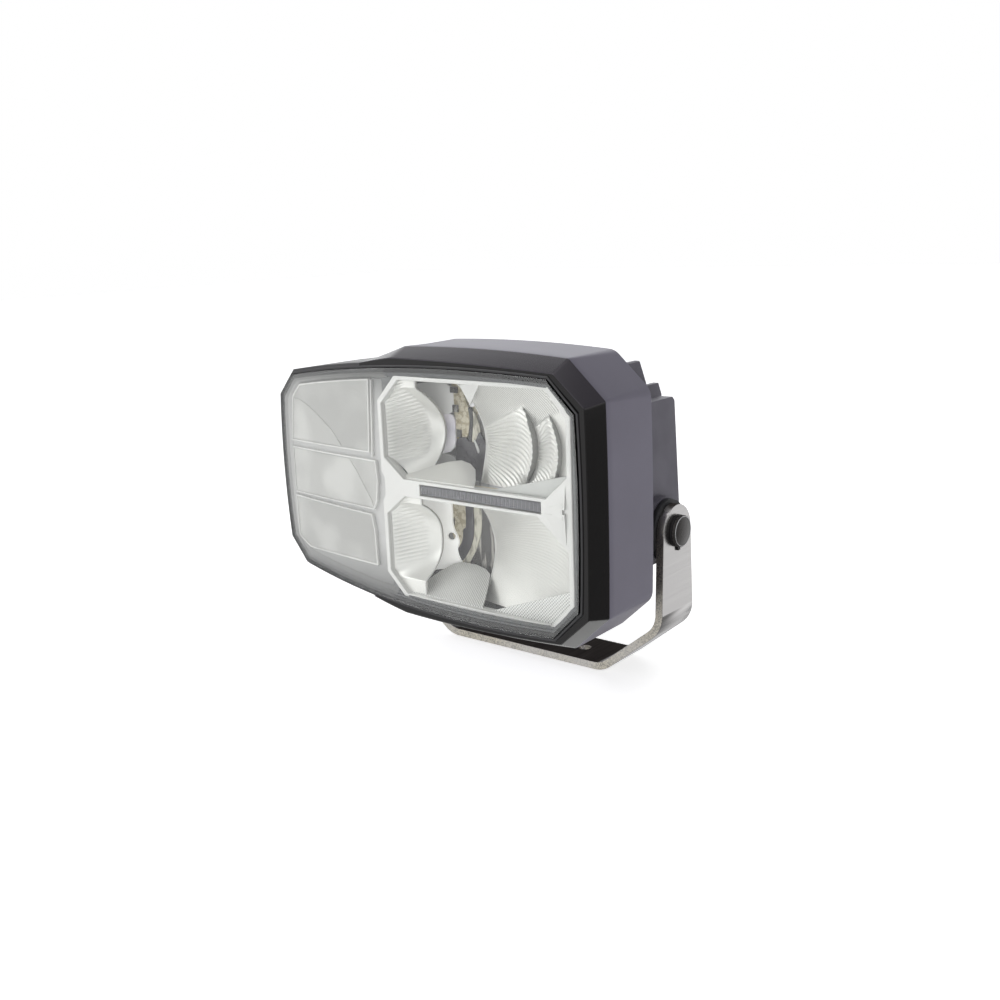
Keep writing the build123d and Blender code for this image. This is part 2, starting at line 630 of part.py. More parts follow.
def make_led_emitters(z_span):
    """Power LEDs on one board, in two rows that light the two bowls."""
    low, high = z_span
    middle = (low + high) / 2
    return [box(x - 1.7, x + 1.7, BOARD_Y - 1.4, BOARD_Y, middle + dz - 1.7, middle + dz + 1.7)
            for x in (9.0, 26.0) for dz in (-9.0, 0.0, 9.0)]


# ---- head: indicator ------------------------------------------------------------------------------
def indicator_outline(shrink=0.0):
    """Outline of the indicator chambers inside the wing."""
    block = outline(-8.0 - shrink) & (Pos(-100 + WING_RIGHT - shrink, 0) * Rectangle(200, 200))
    return block


def make_indicator_tray():
    """White reflector tray with three chambers."""
    tray = layer(indicator_outline(0.2), 9.0, 24.0) & slab(outline(0), -10, TRAY_BACK)
    tray &= plan_cut(BODY_BACK - TRAY_BACK)
    for low, high in chamber_spans():
        span = box(-200, WING_RIGHT - 2, -10, TRAY_BACK - 1.5, low + 0.8, high - 0.8)
        tray -= slab(indicator_outline(1.8), -10, TRAY_BACK - 1.5) & span
    for x, z in indicator_led_places():
        tray -= box(x - 2.2, x + 2.2, TRAY_BACK - 5, TRAY_BACK + 1, z - 2.2, z + 2.2)
    return tray


def indicator_led_places():
    """Two LEDs in each chamber."""
    return [(x, z) for x in (-70.0, -45.0) for z in (-30.0, 0.0, 28.0)]


def chamber_spans():
    """Low and high edge of each chamber."""
    upper, lower = DIVIDERS
    return [(upper, 70.0), (lower, upper), (-70.0, lower)]


def make_indicator_diffuser():
    """Frosted inner cover with a raised line at each divider."""
    cover = layer(indicator_outline(), 6.6, 8.6)
    for z in DIVIDERS:
        rib = layer(indicator_outline(1.0), 5.6, 6.8) & box(-200, WING_RIGHT - 6, -20, 90, z - 0.6, z + 0.6)
        cover += rib
    return cover


def make_indicator_board():
    """Board behind the tray."""
    return box(-84, -30, TRAY_BACK, TRAY_BACK + BOARD_T, -38, 38)


def make_indicator_leds():
    """LEDs that shine through the tray's back."""
    y1 = TRAY_BACK
    return [box(x - 1.6, x + 1.6, y1 - 1.5, y1, z - 1.6, z + 1.6) for x, z in indicator_led_places()]


def make_driver_board():
    """Control board in the back of the wing."""
    board = box(-80, -22, DRIVER_Y, DRIVER_Y + BOARD_T, -34, 34)
    for x, z in board_post_places():
        board -= rod_y(x, z, 1.5, DRIVER_Y - 1, DRIVER_Y + BOARD_T + 1)
    return board


def make_driver_components():
    """Inductor, capacitors, controller and plug on the control board."""
    y1 = DRIVER_Y
    parts = [box(-40, -28, y1 - 4.5, y1, 6, 18), box(-62, -52, y1 - 2.0, y1, -6, 4),
             box(-50, -42, y1 - 2.0, y1, -26, -18)]
    parts += [rod_y(-70, z, 4.0, y1 - 4.8, y1) for z in (-20.0, -8.0, 8.0, 20.0)]
    return parts


def make_board_posts():
    """Screws that carry the indicator board and the control board from the back wall."""
    return [rod_y(x, z, 1.5, TRAY_BACK + BOARD_T, BODY_BACK - BACK_WALL) for x, z in board_post_places()]


def board_post_places():
    """Corners of the boards in the wing."""
    return [(x, z) for x in (-76.0, -34.0) for z in (-32.0, 32.0)]


# ---- writing the parts --------------------------------------------------------------------------
def make_everything():
    """Every node by name: first what is drawn about the foot, then what is drawn about the lens."""
    foot_parts = {
        "bracket": make_bracket(),
        "pivot_washers": make_pivot_washers(),
        "pivot_bolts": make_pivot_bolts(),
        "friction_discs": make_friction_discs(),
        "threaded_inserts": make_threaded_inserts(),
    }
    lens_parts = {
        "lamp_body": make_lamp_body(),
        "outer_lens": make_outer_lens(),
        "lens_seal": make_lens_seal(),
        "lens_frame": make_lens_frame(),
        "front_shell": make_front_shell(),
        "rear_housing": make_rear_housing(),
        "rear_gasket": make_rear_gasket(),
        "housing_screws": make_housing_screws(),
        "breather_vent": make_breather_vent(),
        "connector_socket": make_connector(),
        "connector_pins": make_connector_pins(),
        "connector_screws": make_connector_screws(),
        "inner_bezel": make_inner_bezel(),
        "drl_light_guide": make_drl_light_guide(),
        "drl_board": make_drl_board(),
        "drl_leds": make_drl_leds(),
        "reflector_upper_left": make_reflector(upper_cell, UPPER_CELL, True),
        "reflector_upper_right": make_reflector(upper_cell, UPPER_CELL, False),
        "reflector_lower_left": make_reflector(lower_cell, LOWER_CELL, True),
        "reflector_lower_right": make_reflector(lower_cell, LOWER_CELL, False),
        "reflector_screws": make_reflector_screws(),
        "heat_spreader": make_heat_spreader(),
        "upper_led_board": make_led_board(UPPER_CELL),
        "lower_led_board": make_led_board(LOWER_CELL),
        "board_screws": make_board_screws(),
        "upper_leds": make_led_emitters(UPPER_CELL),
        "lower_leds": make_led_emitters(LOWER_CELL),
        "indicator_diffuser": make_indicator_diffuser(),
        "indicator_tray": make_indicator_tray(),
        "indicator_board": make_indicator_board(),
        "indicator_leds": make_indicator_leds(),
        "driver_board": make_driver_board(),
        "driver_components": make_driver_components(),
        "board_posts": make_board_posts(),
    }
    place = Pos(HEAD_X, HEAD_Y, HEAD_Z)
    nodes = dict(foot_parts)
    for name, shape in lens_parts.items():
        nodes[name] = [place * s for s in shape] if isinstance(shape, list) else place * shape
    return nodes


def write(name, shape):
    """Writes one node; a list of solids is one group."""
    solids = []
    for item in shape if isinstance(shape, list) else [shape]:
        solids += item.solids()
    export_step(Compound(label=name, children=solids) if len(solids) > 1 else solids[0],
                f"parts/{name}.step")


os.makedirs("parts", exist_ok=True)
for node_name, node_shape in make_everything().items():
    write(node_name, node_shape)
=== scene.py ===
import json
import math

import bmesh
import bpy
from mathutils import Matrix, Vector


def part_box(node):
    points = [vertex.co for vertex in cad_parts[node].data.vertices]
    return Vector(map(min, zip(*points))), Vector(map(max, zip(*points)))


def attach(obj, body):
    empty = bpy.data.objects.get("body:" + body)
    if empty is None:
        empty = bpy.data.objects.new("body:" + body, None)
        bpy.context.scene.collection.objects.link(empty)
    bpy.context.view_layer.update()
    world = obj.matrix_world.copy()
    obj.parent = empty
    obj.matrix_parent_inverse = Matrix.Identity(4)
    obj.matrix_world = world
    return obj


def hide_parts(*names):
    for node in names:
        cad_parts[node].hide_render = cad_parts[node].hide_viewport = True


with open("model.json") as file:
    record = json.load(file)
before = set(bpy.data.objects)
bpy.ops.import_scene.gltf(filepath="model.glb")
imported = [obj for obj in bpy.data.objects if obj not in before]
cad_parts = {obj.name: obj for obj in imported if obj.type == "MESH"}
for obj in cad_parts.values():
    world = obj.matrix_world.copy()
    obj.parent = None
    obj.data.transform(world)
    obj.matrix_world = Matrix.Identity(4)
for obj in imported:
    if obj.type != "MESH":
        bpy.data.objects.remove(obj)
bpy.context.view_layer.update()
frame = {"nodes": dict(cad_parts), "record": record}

# LED lamp on a U bracket. Lengths are millimetres, and MM turns them into metres.
# Head pieces are drawn about the middle of the lens: x across, y depth behind the lens, z up.
MM = 0.001
HEAD_BODY = "head"

# ---- camera and stage --------------------------------------------
CAMERA_PLACE = (359.0, -469.0, 222.2)
CAMERA_AZIMUTH, CAMERA_ELEVATION, CAMERA_ROLL = 39.26, 13.38, 2.30
CAMERA_LENS, SENSOR = 40.99, 36.0
FLOOR_SIZE = 9000.0
STUDIO_LEVEL = 0.16     # the world away from its bright regions
STUDIO_REGIONS = (      # where it is aimed, cosines where it begins and is full, and what it adds
    ((-0.55, -0.80, 0.15), 0.2, 0.8, 0.62),     # front left
    ((-0.25, 0.95, -0.05), 0.35, 0.9, 0.50),    # backdrop
    ((-0.62, 0.75, 0.35), 0.80, 0.98, 0.75),    # behind left, seen in the top face
    ((0.42, 0.86, -0.28), 0.93, 0.99, 0.35),    # behind right, seen in the bracket's arm
    ((0.40, -0.85, 0.35), 0.7, 0.95, 0.25),     # front right, high
)
LIGHTS = (              # name, place, side of the square, power
    ("overhead", (60, -150, 900), 900, 2.2),
    ("front_left", (-700, -800, 500), 700, 2.5),
    ("right", (900, 150, 350), 500, 0.6),
)
LIGHTS_AIM = (0, -40, 90)

# ---- pivot -------------------------------------------------------
PIVOT_Z = 76.0
BOLT_SEAT = 87.8        # underside of each bolt head, from the middle
FLANGE_R, FLANGE_T = 7.9, 1.8
DOME_R, DOME_H = 7.3, 0.8

# ---- lens --------------------------------------------------------
LENS_HALF_W, LENS_HALF_H = 103.0, 61.6
ARCH_X, ARCH_R = 35.0, 830.0
RIGHT_CUT, RIGHT_CORNER_Z, RIGHT_BULGE = 14.6, 45.0, 1.2
LEFT_CUT, LEFT_CORNER_Z, LEFT_BULGE = 13.0, 40.0, 2.2
LENS_R, LENS_VERTEX_X, LENS_T = 980.0, 60.0, 3.0
GROOVE = 0.4            # gap between the lens and its rim

# ---- front shell -------------------------------------------------
SHELL_WALL = 3.0
SHELL_SETBACK = 1.2     # the shell's front edge, behind the lens face
BEVEL_FRONT_Y, BEVEL_BACK_Y, SHELL_BACK = 1.2, 13.8, 51.8
BEVEL_EASE = 0.7        # softening where the bevel meets the wall
SHELL_LEFT_X, SHELL_SHOULDER_X, SHELL_RIGHT_CUT_X = -31.0, -7.0, 91.8
SHELL_FRONT_HALF = (61.2, 64.0, 61.9, 107.0, 47.5)      # z of run-out, shoulder and corner, side x and z
SHELL_BACK_HALF = (61.9, 69.7, 67.5, 111.0, 49.6)

# ---- optics ------------------------------------------------------
BEZEL_Y, BEZEL_T = 6.8, 2.2
CELL_LEFT, CELL_RIGHT = -17.5, 94.5
CELLS = {               # the openings' low and high z, and cuts: top left, top right, low right, low left
    "upper": (4.5, 54.0, ((12, 12), (11, 12), (12, 11), (12.5, 10))),
    "lower": (-55.5, -4.5, ((12.5, 10), (17, 14), (11, 11), (11, 11))),
}
LEFT_BOWL_EDGE, RIGHT_BOWL_EDGE = 4.0, 31.0     # x of the bowls' open edges
LINING_EDGE_X = 6.0     # the linings between the bowls lean out to the left of this
LEFT_BOWL_Y, RIGHT_BOWL_Y, BOWL_T = 9.4, 9.3, 1.3
RIB_SLANT, RIB_DROP = 0.24, 17.0        # the left bowls' ribs: rise with x, and start below the middle
TOOTH_GAP = 0.25        # between the zones of a stepped bowl
RIDGES = ((71.3, 0.019, 4.0), (88.9, 0.024, 3.0))       # furthest x, bend, and height above the middle
FLUTE_RISE, FLUTE_STEP = 0.45, 5.5      # tops of the flutes: rise with x, and from zone to zone
FACET_Y, FACET_T = 9.3, 1.0
CHANNEL_FLOOR_Y, CHANNEL_FLOOR_SLOPE = 8.0, 0.5
BAR_LEFT, BAR_RIGHT, BAR_HALF_H, BAR_RIBS = 6.0, 79.3, 2.4, 64
BAR_BACK = 15.8
WAIST_FACETS = (        # raised facets where the trim widens right of the light bar
    ("waist_facet_upper", ((81.5, 6.75, 2.6), (93.8, 5.6, 1.0), (93.8, 6.75, 12.0))),
    ("waist_facet_lower", ((81.5, 6.75, -2.6), (93.8, 5.6, -1.0), (93.8, 6.75, -15.5))),
    ("waist_facet_middle", ((81.5, 6.75, 0.0), (92.5, 5.7, 4.0), (92.5, 5.7, -4.0))),
)
WEB_FACE = ((30.8, 10.8, 53.4), (44.5, 9.1, 53.8), (33.6, 15.0, 43.2))      # web over the channel
WING_RIGHT = -24.5      # right end of the wing's wall
FRAME_LEFT_X = -20.8    # the dark face round the trim reaches this far left
WING_SPLIT_X = -12.0    # left of this the rim inside the lens is pale
# painted shade in the lavender lining: darkest about two thirds of the way up its height
LAVENDER_TONES = ((0.90, 0.89, 0.91), (0.80, 0.78, 0.82), (0.56, 0.54, 0.60), (0.78, 0.75, 0.80))
# painted shade on the wing's walls: dark near the rim at the bottom and top, pale between
WING_TONES = [(t, t, t * 0.98) for t in (0.12, 0.31, 0.46, 0.48, 0.48, 0.48, 0.48, 0.46, 0.37, 0.15)]

# CAD nodes whose sharp edges are rounded, with the width
EASED_NODES = (("bracket", 0.2), ("rear_housing", 0.6), ("lamp_body", 0.25), ("pivot_washers", 0.25),
               ("friction_discs", 0.5), ("connector_socket", 0.4), ("connector_screws", 0.2),
               ("housing_screws", 0.3), ("breather_vent", 0.5))

# Middle of the lens outline at the depth of its front, in metres
lens_low, lens_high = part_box("outer_lens")
HEAD = Vector((lens_high.x - (LENS_HALF_W + RIGHT_BULGE - GROOVE) * MM, lens_low.y,
               (lens_low.z + lens_high.z) / 2))


# ---- node helpers ------------------------------------------------
def add_node(tree, kind, links=(), **settings):
    """A new node in a tree; links maps its inputs to sockets or values."""
    made = tree.nodes.new("ShaderNode" + kind)
    for key, value in settings.items():
        setattr(made, key, value)
    for key, value in dict(links).items():
        if isinstance(value, bpy.types.NodeSocket):
            tree.links.new(value, made.inputs[key])
        else:
            made.inputs[key].default_value = value
    return made


def rgba(value):
    """A colour with its alpha; sockets stay as they are."""
    return (*value, 1) if isinstance(value, tuple) else value


class Shader:
    """A Principled material with short calls for the procedural nodes that feed it."""

    def __init__(self, name, colour, roughness, metallic=0.0, **constants):
        self.material = bpy.data.materials.new(name)
        self.material.use_nodes = True
        self.tree = self.material.node_tree
        self.main = self.tree.nodes["Principled BSDF"]
        self.main.inputs["Base Color"].default_value = rgba(colour)
        self.main.inputs["Roughness"].default_value = roughness
        self.main.inputs["Metallic"].default_value = metallic
        for key, value in constants.items():
            self.main.inputs[key.replace("_", " ").title().replace("Ior", "IOR")].default_value = value
        coordinates = self.node("TexCoord").outputs
        self.place, self.facing = coordinates["Object"], coordinates["Normal"]

    def node(self, kind, links=(), **settings):
        return add_node(self.tree, kind, links, **settings)

    def split(self, socket):
        """The x, y and z of a vector."""
        return self.node("SeparateXYZ", {0: socket}).outputs

    def noise(self, scale, detail=3.0, stretch=None):
        """Noise with about `scale` features to the metre, stretched by a factor on each axis."""
        where = self.place
        if stretch:
            where = self.node("Mapping", {"Vector": where, "Scale": stretch}).outputs["Vector"]
        return self.node("TexNoise", {"Vector": where, "Scale": scale, "Detail": detail}).outputs["Fac"]

    def ramp(self, value, stops):
        """Colours along a value: stops are (position, colour)."""
        made = self.node("ValToRGB", {"Fac": value})
        elements = made.color_ramp.elements
        while len(elements) < len(stops):
            elements.new(0.5)
        for element, (position, colour) in zip(elements, stops):
            element.position = position
            element.color = rgba(colour)
        return made.outputs["Color"]

    def tint(self, value, colour, low, high, start=0.3, end=0.7):
        """A colour scaled from low to high as a value goes from start to end."""
        return self.ramp(value, [(start, shade(colour, low)), (end, shade(colour, high))])

    def between(self, value, low, high, start=0.0, end=1.0):
        """Maps a value from start..end onto low..high."""
        links = {"Value": value, "From Min": start, "From Max": end, "To Min": low, "To Max": high}
        return self.node("MapRange", links).outputs["Result"]

    def maths(self, operation, a, b=0.0):
        return self.node("Math", {0: a, 1: b}, operation=operation).outputs[0]

    def mix(self, share, a, b):
        """Colour b over colour a by share."""
        return self.node("Mix", {0: share, 6: rgba(a), 7: rgba(b)}, data_type="RGBA").outputs[2]

    def drive(self, name, socket):
        """Links a socket to an input of the shader."""
        self.tree.links.new(socket, self.main.inputs[name])

    def colour(self, socket):
        self.drive("Base Color", socket)

    def roughness(self, socket):
        self.drive("Roughness", socket)

    def uneven_gloss(self, scale, detail, roughness, spread):
        """Roughness that wanders to either side of a value."""
        drift = self.noise(scale, detail)
        self.roughness(self.between(drift, roughness - spread, roughness + spread, 0.3, 0.7))

    def bump(self, height, distance):
        """Bump in millimetres."""
        made = self.node("Bump", {"Height": height, "Distance": distance * MM})
        self.drive("Normal", made.outputs["Normal"])


def shade(colour, factor):
    return tuple(min(1.0, c * factor) for c in colour)


# ---- finishes ----------------------------------------------------
def grained(name, colour, roughness, metallic=0.0, variation=0.12, grain=2600.0, depth=0.02, spread=0.06,
            **constants):
    """Moulded, painted or cast finish: slow colour drift, fine grain and a little uneven gloss."""
    s = Shader(name, colour, roughness, metallic, **constants)
    s.colour(s.tint(s.noise(28.0, 4.0), colour, 1 - variation, 1 + variation))
    s.uneven_gloss(90.0, 5.0, roughness, spread)
    s.bump(s.noise(grain, 2.0), depth)
    return s.material


def glowing(name, colour, variation, glow, strength):
    """Pale satin surface between bright walls, with an even glow for the light they throw on it."""
    return grained(name, colour, 0.4, 0.2, variation, emission_strength=strength, emission_color=rgba(glow))


def coated(name, *values):
    """A grained finish under a clear coat."""
    return grained(name, *values, coat_weight=0.6)


def brushed(name, colour, roughness, direction, depth=0.012):
    """Metal with fine lines along one axis."""
    s = Shader(name, colour, roughness, 1.0)
    lines = s.noise(900.0, 4.0, direction)
    s.colour(s.tint(lines, colour, 0.86, 1.08))
    s.roughness(s.between(lines, roughness - 0.08, roughness + 0.1, 0.3, 0.7))
    s.bump(lines, depth)
    return s.material


def stainless_bar(name):
    """Bar of the bracket: brushed faces, beige speckled cut edges, and a painted dark reflection, matt, on
    the foot's level faces.
    """
    # upper is the dark of a painted reflection, put on the foot's level faces
    face, edge, upper = (0.68, 0.66, 0.65), (0.56, 0.52, 0.43), (0.052, 0.046, 0.043)
    s = Shader(name, face, 0.3, 1.0, specular_ior_level=0.0)
    normal = s.split(s.facing)
    is_edge = s.between(s.maths("ABSOLUTE", normal["Y"]), 0.0, 1.0, 0.75, 0.95)
    # painted reflection: the foot's level faces turn dark and matt
    painted_reflection_share = s.between(s.maths("ABSOLUTE", normal["Z"]), 0.0, 1.0, 0.8, 0.97)
    lines = s.noise(700.0, 4.0, (1.0, 0.03, 1.0))
    face_colour = s.tint(lines, face, 0.97, 1.03)
    painted_reflection_colour = s.tint(lines, upper, 1.0, 1.65)
    specks = s.noise(1500.0, 6.0)
    edge_colour = s.ramp(specks, [(0.36, shade(edge, 0.42)), (0.5, edge), (0.68, shade(edge, 1.35))])
    edge_colour = s.mix(s.between(s.noise(35.0), 0.15, 0.65, 0.4, 0.65), edge_colour, face)
    s.colour(s.mix(is_edge, s.mix(painted_reflection_share, face_colour, painted_reflection_colour), edge_colour))
    s.roughness(s.between(is_edge, 0.26, 0.42))
    s.drive("Metallic", s.between(painted_reflection_share, 1.0, 0.0))
    s.bump(s.mix(is_edge, (0.5, 0.5, 0.5), specks), 0.03)
    return s.material


def clear(name, colour, roughness, ior):
    """Clear moulding with a slightly uneven polish."""
    s = Shader(name, colour, roughness, transmission_weight=1.0, ior=ior)
    s.roughness(s.between(s.noise(60.0), roughness, roughness + 0.02, 0.35, 0.65))
    return s.material


def mirror_coat(name, colour, roughness, metallic):
    """Vacuum-metallised plastic; a lower metallic share gives a milkier silver."""
    s = Shader(name, colour, roughness, metallic)
    s.colour(s.tint(s.noise(40.0), colour, 0.96, 1.03))
    s.uneven_gloss(160.0, 4.0, roughness, 0.04)
    s.bump(s.noise(500.0, 2.0), 0.006)
    return s.material


def dotted_coat(name, colour, roughness, pitch):
    """Metallised facet with a fine halftone of raised dots, staggered row by row."""
    s = Shader(name, colour, roughness, 0.3)
    x, y, z = s.split(s.place)
    flat = s.node("CombineXYZ", {"X": x, "Y": s.maths("ADD", y, z)}).outputs["Vector"]
    turn = {"Vector": flat, "Scale": (1 / (pitch * MM),) * 3, "Rotation": (0, 0, math.radians(45))}
    cells = {"Vector": s.node("Mapping", turn).outputs["Vector"], "Scale": 1.0, "Randomness": 0.0}
    dots = s.node("TexVoronoi", cells, voronoi_dimensions="2D").outputs["Distance"]
    patch = s.between(s.noise(22.0, 1.0), 0.4, 1.0, 0.4, 0.6)
    s.colour(s.mix(patch, colour, s.tint(dots, colour, 0.45, 1.1, 0.22, 0.5)))
    s.roughness(s.between(dots, roughness + 0.15, roughness, 0.2, 0.6))
    s.bump(dots, 0.12)
    return s.material


def hatched_coat(name, colour, roughness, metallic, pitch, start, zone_x):
    """Metallised bowl with fine slanting lines above its flutes, whose tops rise to the right."""
    s = Shader(name, colour, roughness, metallic)
    parts = s.split(s.place)
    x = s.maths("SUBTRACT", parts["X"], HEAD.x)
    z = s.maths("SUBTRACT", parts["Z"], HEAD.z)
    next_zone = s.between(x, 0.0, 12.0 * MM, (zone_x - 1.5) * MM, (zone_x + 1.5) * MM)
    rise = s.maths("ADD", s.maths("SUBTRACT", z, s.maths("MULTIPLY", x, FLUTE_RISE)), next_zone)
    is_above = s.between(rise, 0.0, 1.0, (start - 0.5) * MM, (start + 1.0) * MM)
    turns = s.maths("MULTIPLY", s.maths("ADD", x, z), 2 * math.pi / (pitch * MM))
    lines = s.between(s.maths("SINE", turns), 0.0, 1.0, -1.0, 1.0)
    plain = s.tint(s.noise(40.0), colour, 0.96, 1.03)
    s.colour(s.mix(is_above, plain, s.tint(lines, colour, 0.60, 0.96, 0.2, 0.8)))
    s.uneven_gloss(160.0, 4.0, roughness, 0.04)
    s.bump(s.maths("MULTIPLY", lines, is_above), 0.05)
    return s.material


def streaked(name, dark, light, stretch, share):
    """Glossy dark moulding with pale streaks in it."""
    s = Shader(name, dark, 0.3)
    streaks = s.noise(420.0, 3.0, stretch)
    s.colour(s.ramp(streaks, [(share - 0.06, dark), (share + 0.06, light)]))
    s.bump(streaks, 0.05)
    return s.material


def shaded_along_z(name, colours, z_span, metallic=0.0, glow=0.0):
    """Satin coat whose tone runs through several colours from low to high z of the head: painted light and
    shade, and a glow when asked.
    """
    s = Shader(name, colours[0], 0.4, metallic, emission_strength=glow)
    low, high = (HEAD.z + z * MM for z in z_span)
    share = s.between(s.split(s.place)["Z"], 0.0, 1.0, low, high)
    steps = len(colours) - 1
    tone = s.ramp(share, [(i / steps, c) for i, c in enumerate(colours)])
    s.colour(tone)
    if glow:
        s.drive("Emission Color", tone)
    s.bump(s.noise(260.0), 0.02)
    return s.material


def shell_paint(name):
    """Satin grey paint. The bevel round the lens is darker and glossier, painted with reflections: black at
    its sides, grey below.
    """
    wall, bevel = (0.160, 0.150, 0.192), (0.012, 0.011, 0.011)
    # painted reflections on the bevel: over where it faces up, under where it faces down
    over, under = (0.048, 0.043, 0.052), (0.21, 0.21, 0.205)
    s = Shader(name, wall, 0.36, 0.3)
    edge = HEAD.y + (BEVEL_BACK_Y - 0.2) * MM
    on_wall = s.between(s.split(s.place)["Y"], 0.0, 1.0, edge - 0.3 * MM, edge + 0.3 * MM)
    facing = s.split(s.facing)["Z"]
    faces_down_reflection = s.between(facing, 1.0, 0.0, -0.72, -0.35)
    faces_up_reflection = s.between(facing, 0.0, 1.0, 0.2, 0.5)
    bevel_reflection_colour = s.mix(faces_down_reflection, s.mix(faces_up_reflection, bevel, over), under)
    s.colour(s.mix(on_wall, bevel_reflection_colour, s.tint(s.noise(28.0, 4.0), wall, 0.95, 1.05)))
    s.roughness(s.between(on_wall, 0.24, 0.4))
    s.bump(s.noise(3200.0, 2.0), 0.01)
    return s.material


def frosted(name, colour):
    """Milky cover with soft cloudy depth."""
    s = Shader(name, colour, 0.34, transmission_weight=0.1, ior=1.45)
    s.colour(s.tint(s.noise(34.0, 1.5), colour, 0.82, 1.06, 0.42, 0.60))
    s.bump(s.noise(300.0, 2.0), 0.008)
    return s.material


def circuit(name, colour, track):
    """Circuit board with wide tracks and small marks in its coating."""
    s = Shader(name, colour, 0.4)
    cells = s.node("TexVoronoi", {"Vector": s.place, "Scale": 420.0}).outputs["Distance"]
    marks = s.ramp(cells, [(0.5, colour), (0.6, track)])
    s.colour(s.mix(s.between(s.noise(1500.0), 0.0, 0.75, 0.56, 0.72), marks, shade(track, 0.3)))
    s.bump(cells, 0.03)
    return s.material


def floor_white(name):
    """Pale floor with a glow of its own, so that it stays even out to the horizon."""
    s = Shader(name, (0.93, 0.93, 0.93), 0.6, emission_color=(1, 1, 1, 1), emission_strength=0.66)
    s.colour(s.ramp(s.noise(3.0), [(0.3, (0.925, 0.925, 0.925)), (0.7, (0.94, 0.94, 0.94))]))
    return s.material


def make_materials():
    """One finish for each of the record's material slots, and the finishes that only this file has."""
    silver = (0.755, 0.755, 0.72)
    mask = (0.0, 0.06, 2600.0, 0.0, 0.02)       # even and without relief
    finishes = {        # the function that makes each, and what it takes after the name
        "stainless": (stainless_bar,),
        "black_hardware": (grained, (0.022, 0.021, 0.022), 0.36, 0.6),
        "bolt_black": (grained, (0.075, 0.070, 0.068), 0.24, 0.6, 0.35, 500.0, 0.04),
        "black_nylon": (grained, (0.018, 0.018, 0.02), 0.5),
        "anthracite": (shell_paint,),
        "dark_casting": (grained, (0.124, 0.117, 0.143), 0.46, 0.3, 0.1, 1500.0, 0.04),
        "body_plastic": (grained, (0.028, 0.027, 0.029), 0.34, 0.0, 0.1, 2200.0, 0.015),
        "clear_polycarbonate": (clear, (0.985, 0.99, 0.985), 0.0, 1.5),
        "mask_plastic": (grained, (0.090, 0.093, 0.096), 0.5, *mask),
        "mask_light": (grained, (0.155, 0.160, 0.160), 0.5, *mask),
        "mask_dark": (grained, (0.045, 0.045, 0.045), 0.6, *mask),
        "seal_rubber": (grained, (0.012, 0.012, 0.012), 0.7),
        "bright_trim": (mirror_coat, (0.65, 0.65, 0.63), 0.34, 0.4),
        "reflector_metal": (mirror_coat, silver, 0.36, 0.55),
        "hatched": (hatched_coat, silver, 0.36, 0.55, 1.6, 15.5, 68.0),
        "dotted": (dotted_coat, (0.76, 0.765, 0.74), 0.36, 1.15),
        "grey_coat": (mirror_coat, (0.50, 0.51, 0.49), 0.36, 0.5),
        # darker coat for the step walls: painted shade
        "step_coat": (mirror_coat, (0.27, 0.275, 0.26), 0.4, 0.3),
        "light_guide": (coated, (0.10, 0.10, 0.115), 0.18, 0.0, 0.3, 400.0, 0.03),
        "rib_grey": (grained, (0.165, 0.165, 0.178), 0.3),
        "rib_dark": (grained, (0.11, 0.11, 0.122), 0.3),
        "board": (circuit, (0.62, 0.57, 0.43), (0.42, 0.36, 0.22)),
        "pale_board": (streaked, (0.30, 0.28, 0.22), (0.60, 0.58, 0.48), (1.0, 1.0, 0.35), 0.42),
        "control_board": (circuit, (0.03, 0.12, 0.06), (0.10, 0.22, 0.10)),
        "component": (grained, (0.03, 0.03, 0.032), 0.4),
        "led": (grained, (0.75, 0.62, 0.18), 0.35),
        "heat_spreader": (brushed, (0.42, 0.42, 0.43), 0.34, (1.0, 1.0, 0.04)),
        "contact": (brushed, (0.75, 0.62, 0.36), 0.3, (1.0, 0.04, 1.0)),
        "zinc_steel": (grained, (0.55, 0.55, 0.56), 0.35, 1.0, 0.1, 900.0, 0.02),
        "vent": (grained, (0.03, 0.03, 0.032), 0.55),
        "frosted": (frosted, (0.465, 0.465, 0.443)),
        # a paler copy of frosted: painted light on the lit side of each fold
        "frosted_light": (frosted, (0.53, 0.53, 0.505)),
        "white_tray": (grained, (0.52, 0.52, 0.51), 0.45),
        "border_white": (grained, (0.60, 0.60, 0.58), 0.3),
        "wing_wall": (shaded_along_z, WING_TONES, (-58, 57)),
        # a darker copy of the wing wall's tones: painted shade nearer the rim
        "wing_wall_outer": (shaded_along_z, [shade(tone, 0.65) for tone in WING_TONES], (-58, 57)),
        "lit_coat": (glowing, (0.90, 0.90, 0.875), 0.05, (0.9, 0.9, 0.875), 0.36),
        "board_grey": (glowing, (0.62, 0.62, 0.60), 0.1, (0.6, 0.6, 0.58), 0.14),
        # painted shade: darker towards the bottom, with a weak glow for the light thrown on it
        "dark_facet": (shaded_along_z, ((0.25, 0.25, 0.245), (0.38, 0.38, 0.375)), (2, 14), 0.2, 0.08),
        # lavender: painted shade in its tones, and a weak glow for the light thrown on it
        "lavender": (shaded_along_z, LAVENDER_TONES, (13, 33), 0.2, 0.1),
        "smoke": (grained, (0.030, 0.027, 0.034), 0.3),
        "mottled": (streaked, (0.045, 0.042, 0.04), (0.42, 0.41, 0.37), (1.0, 1.0, 0.16), 0.6),
        "floor": (floor_white,),
    }
    return {name: make(name, *values) for name, (make, *values) in finishes.items()}


MATERIALS = make_materials()


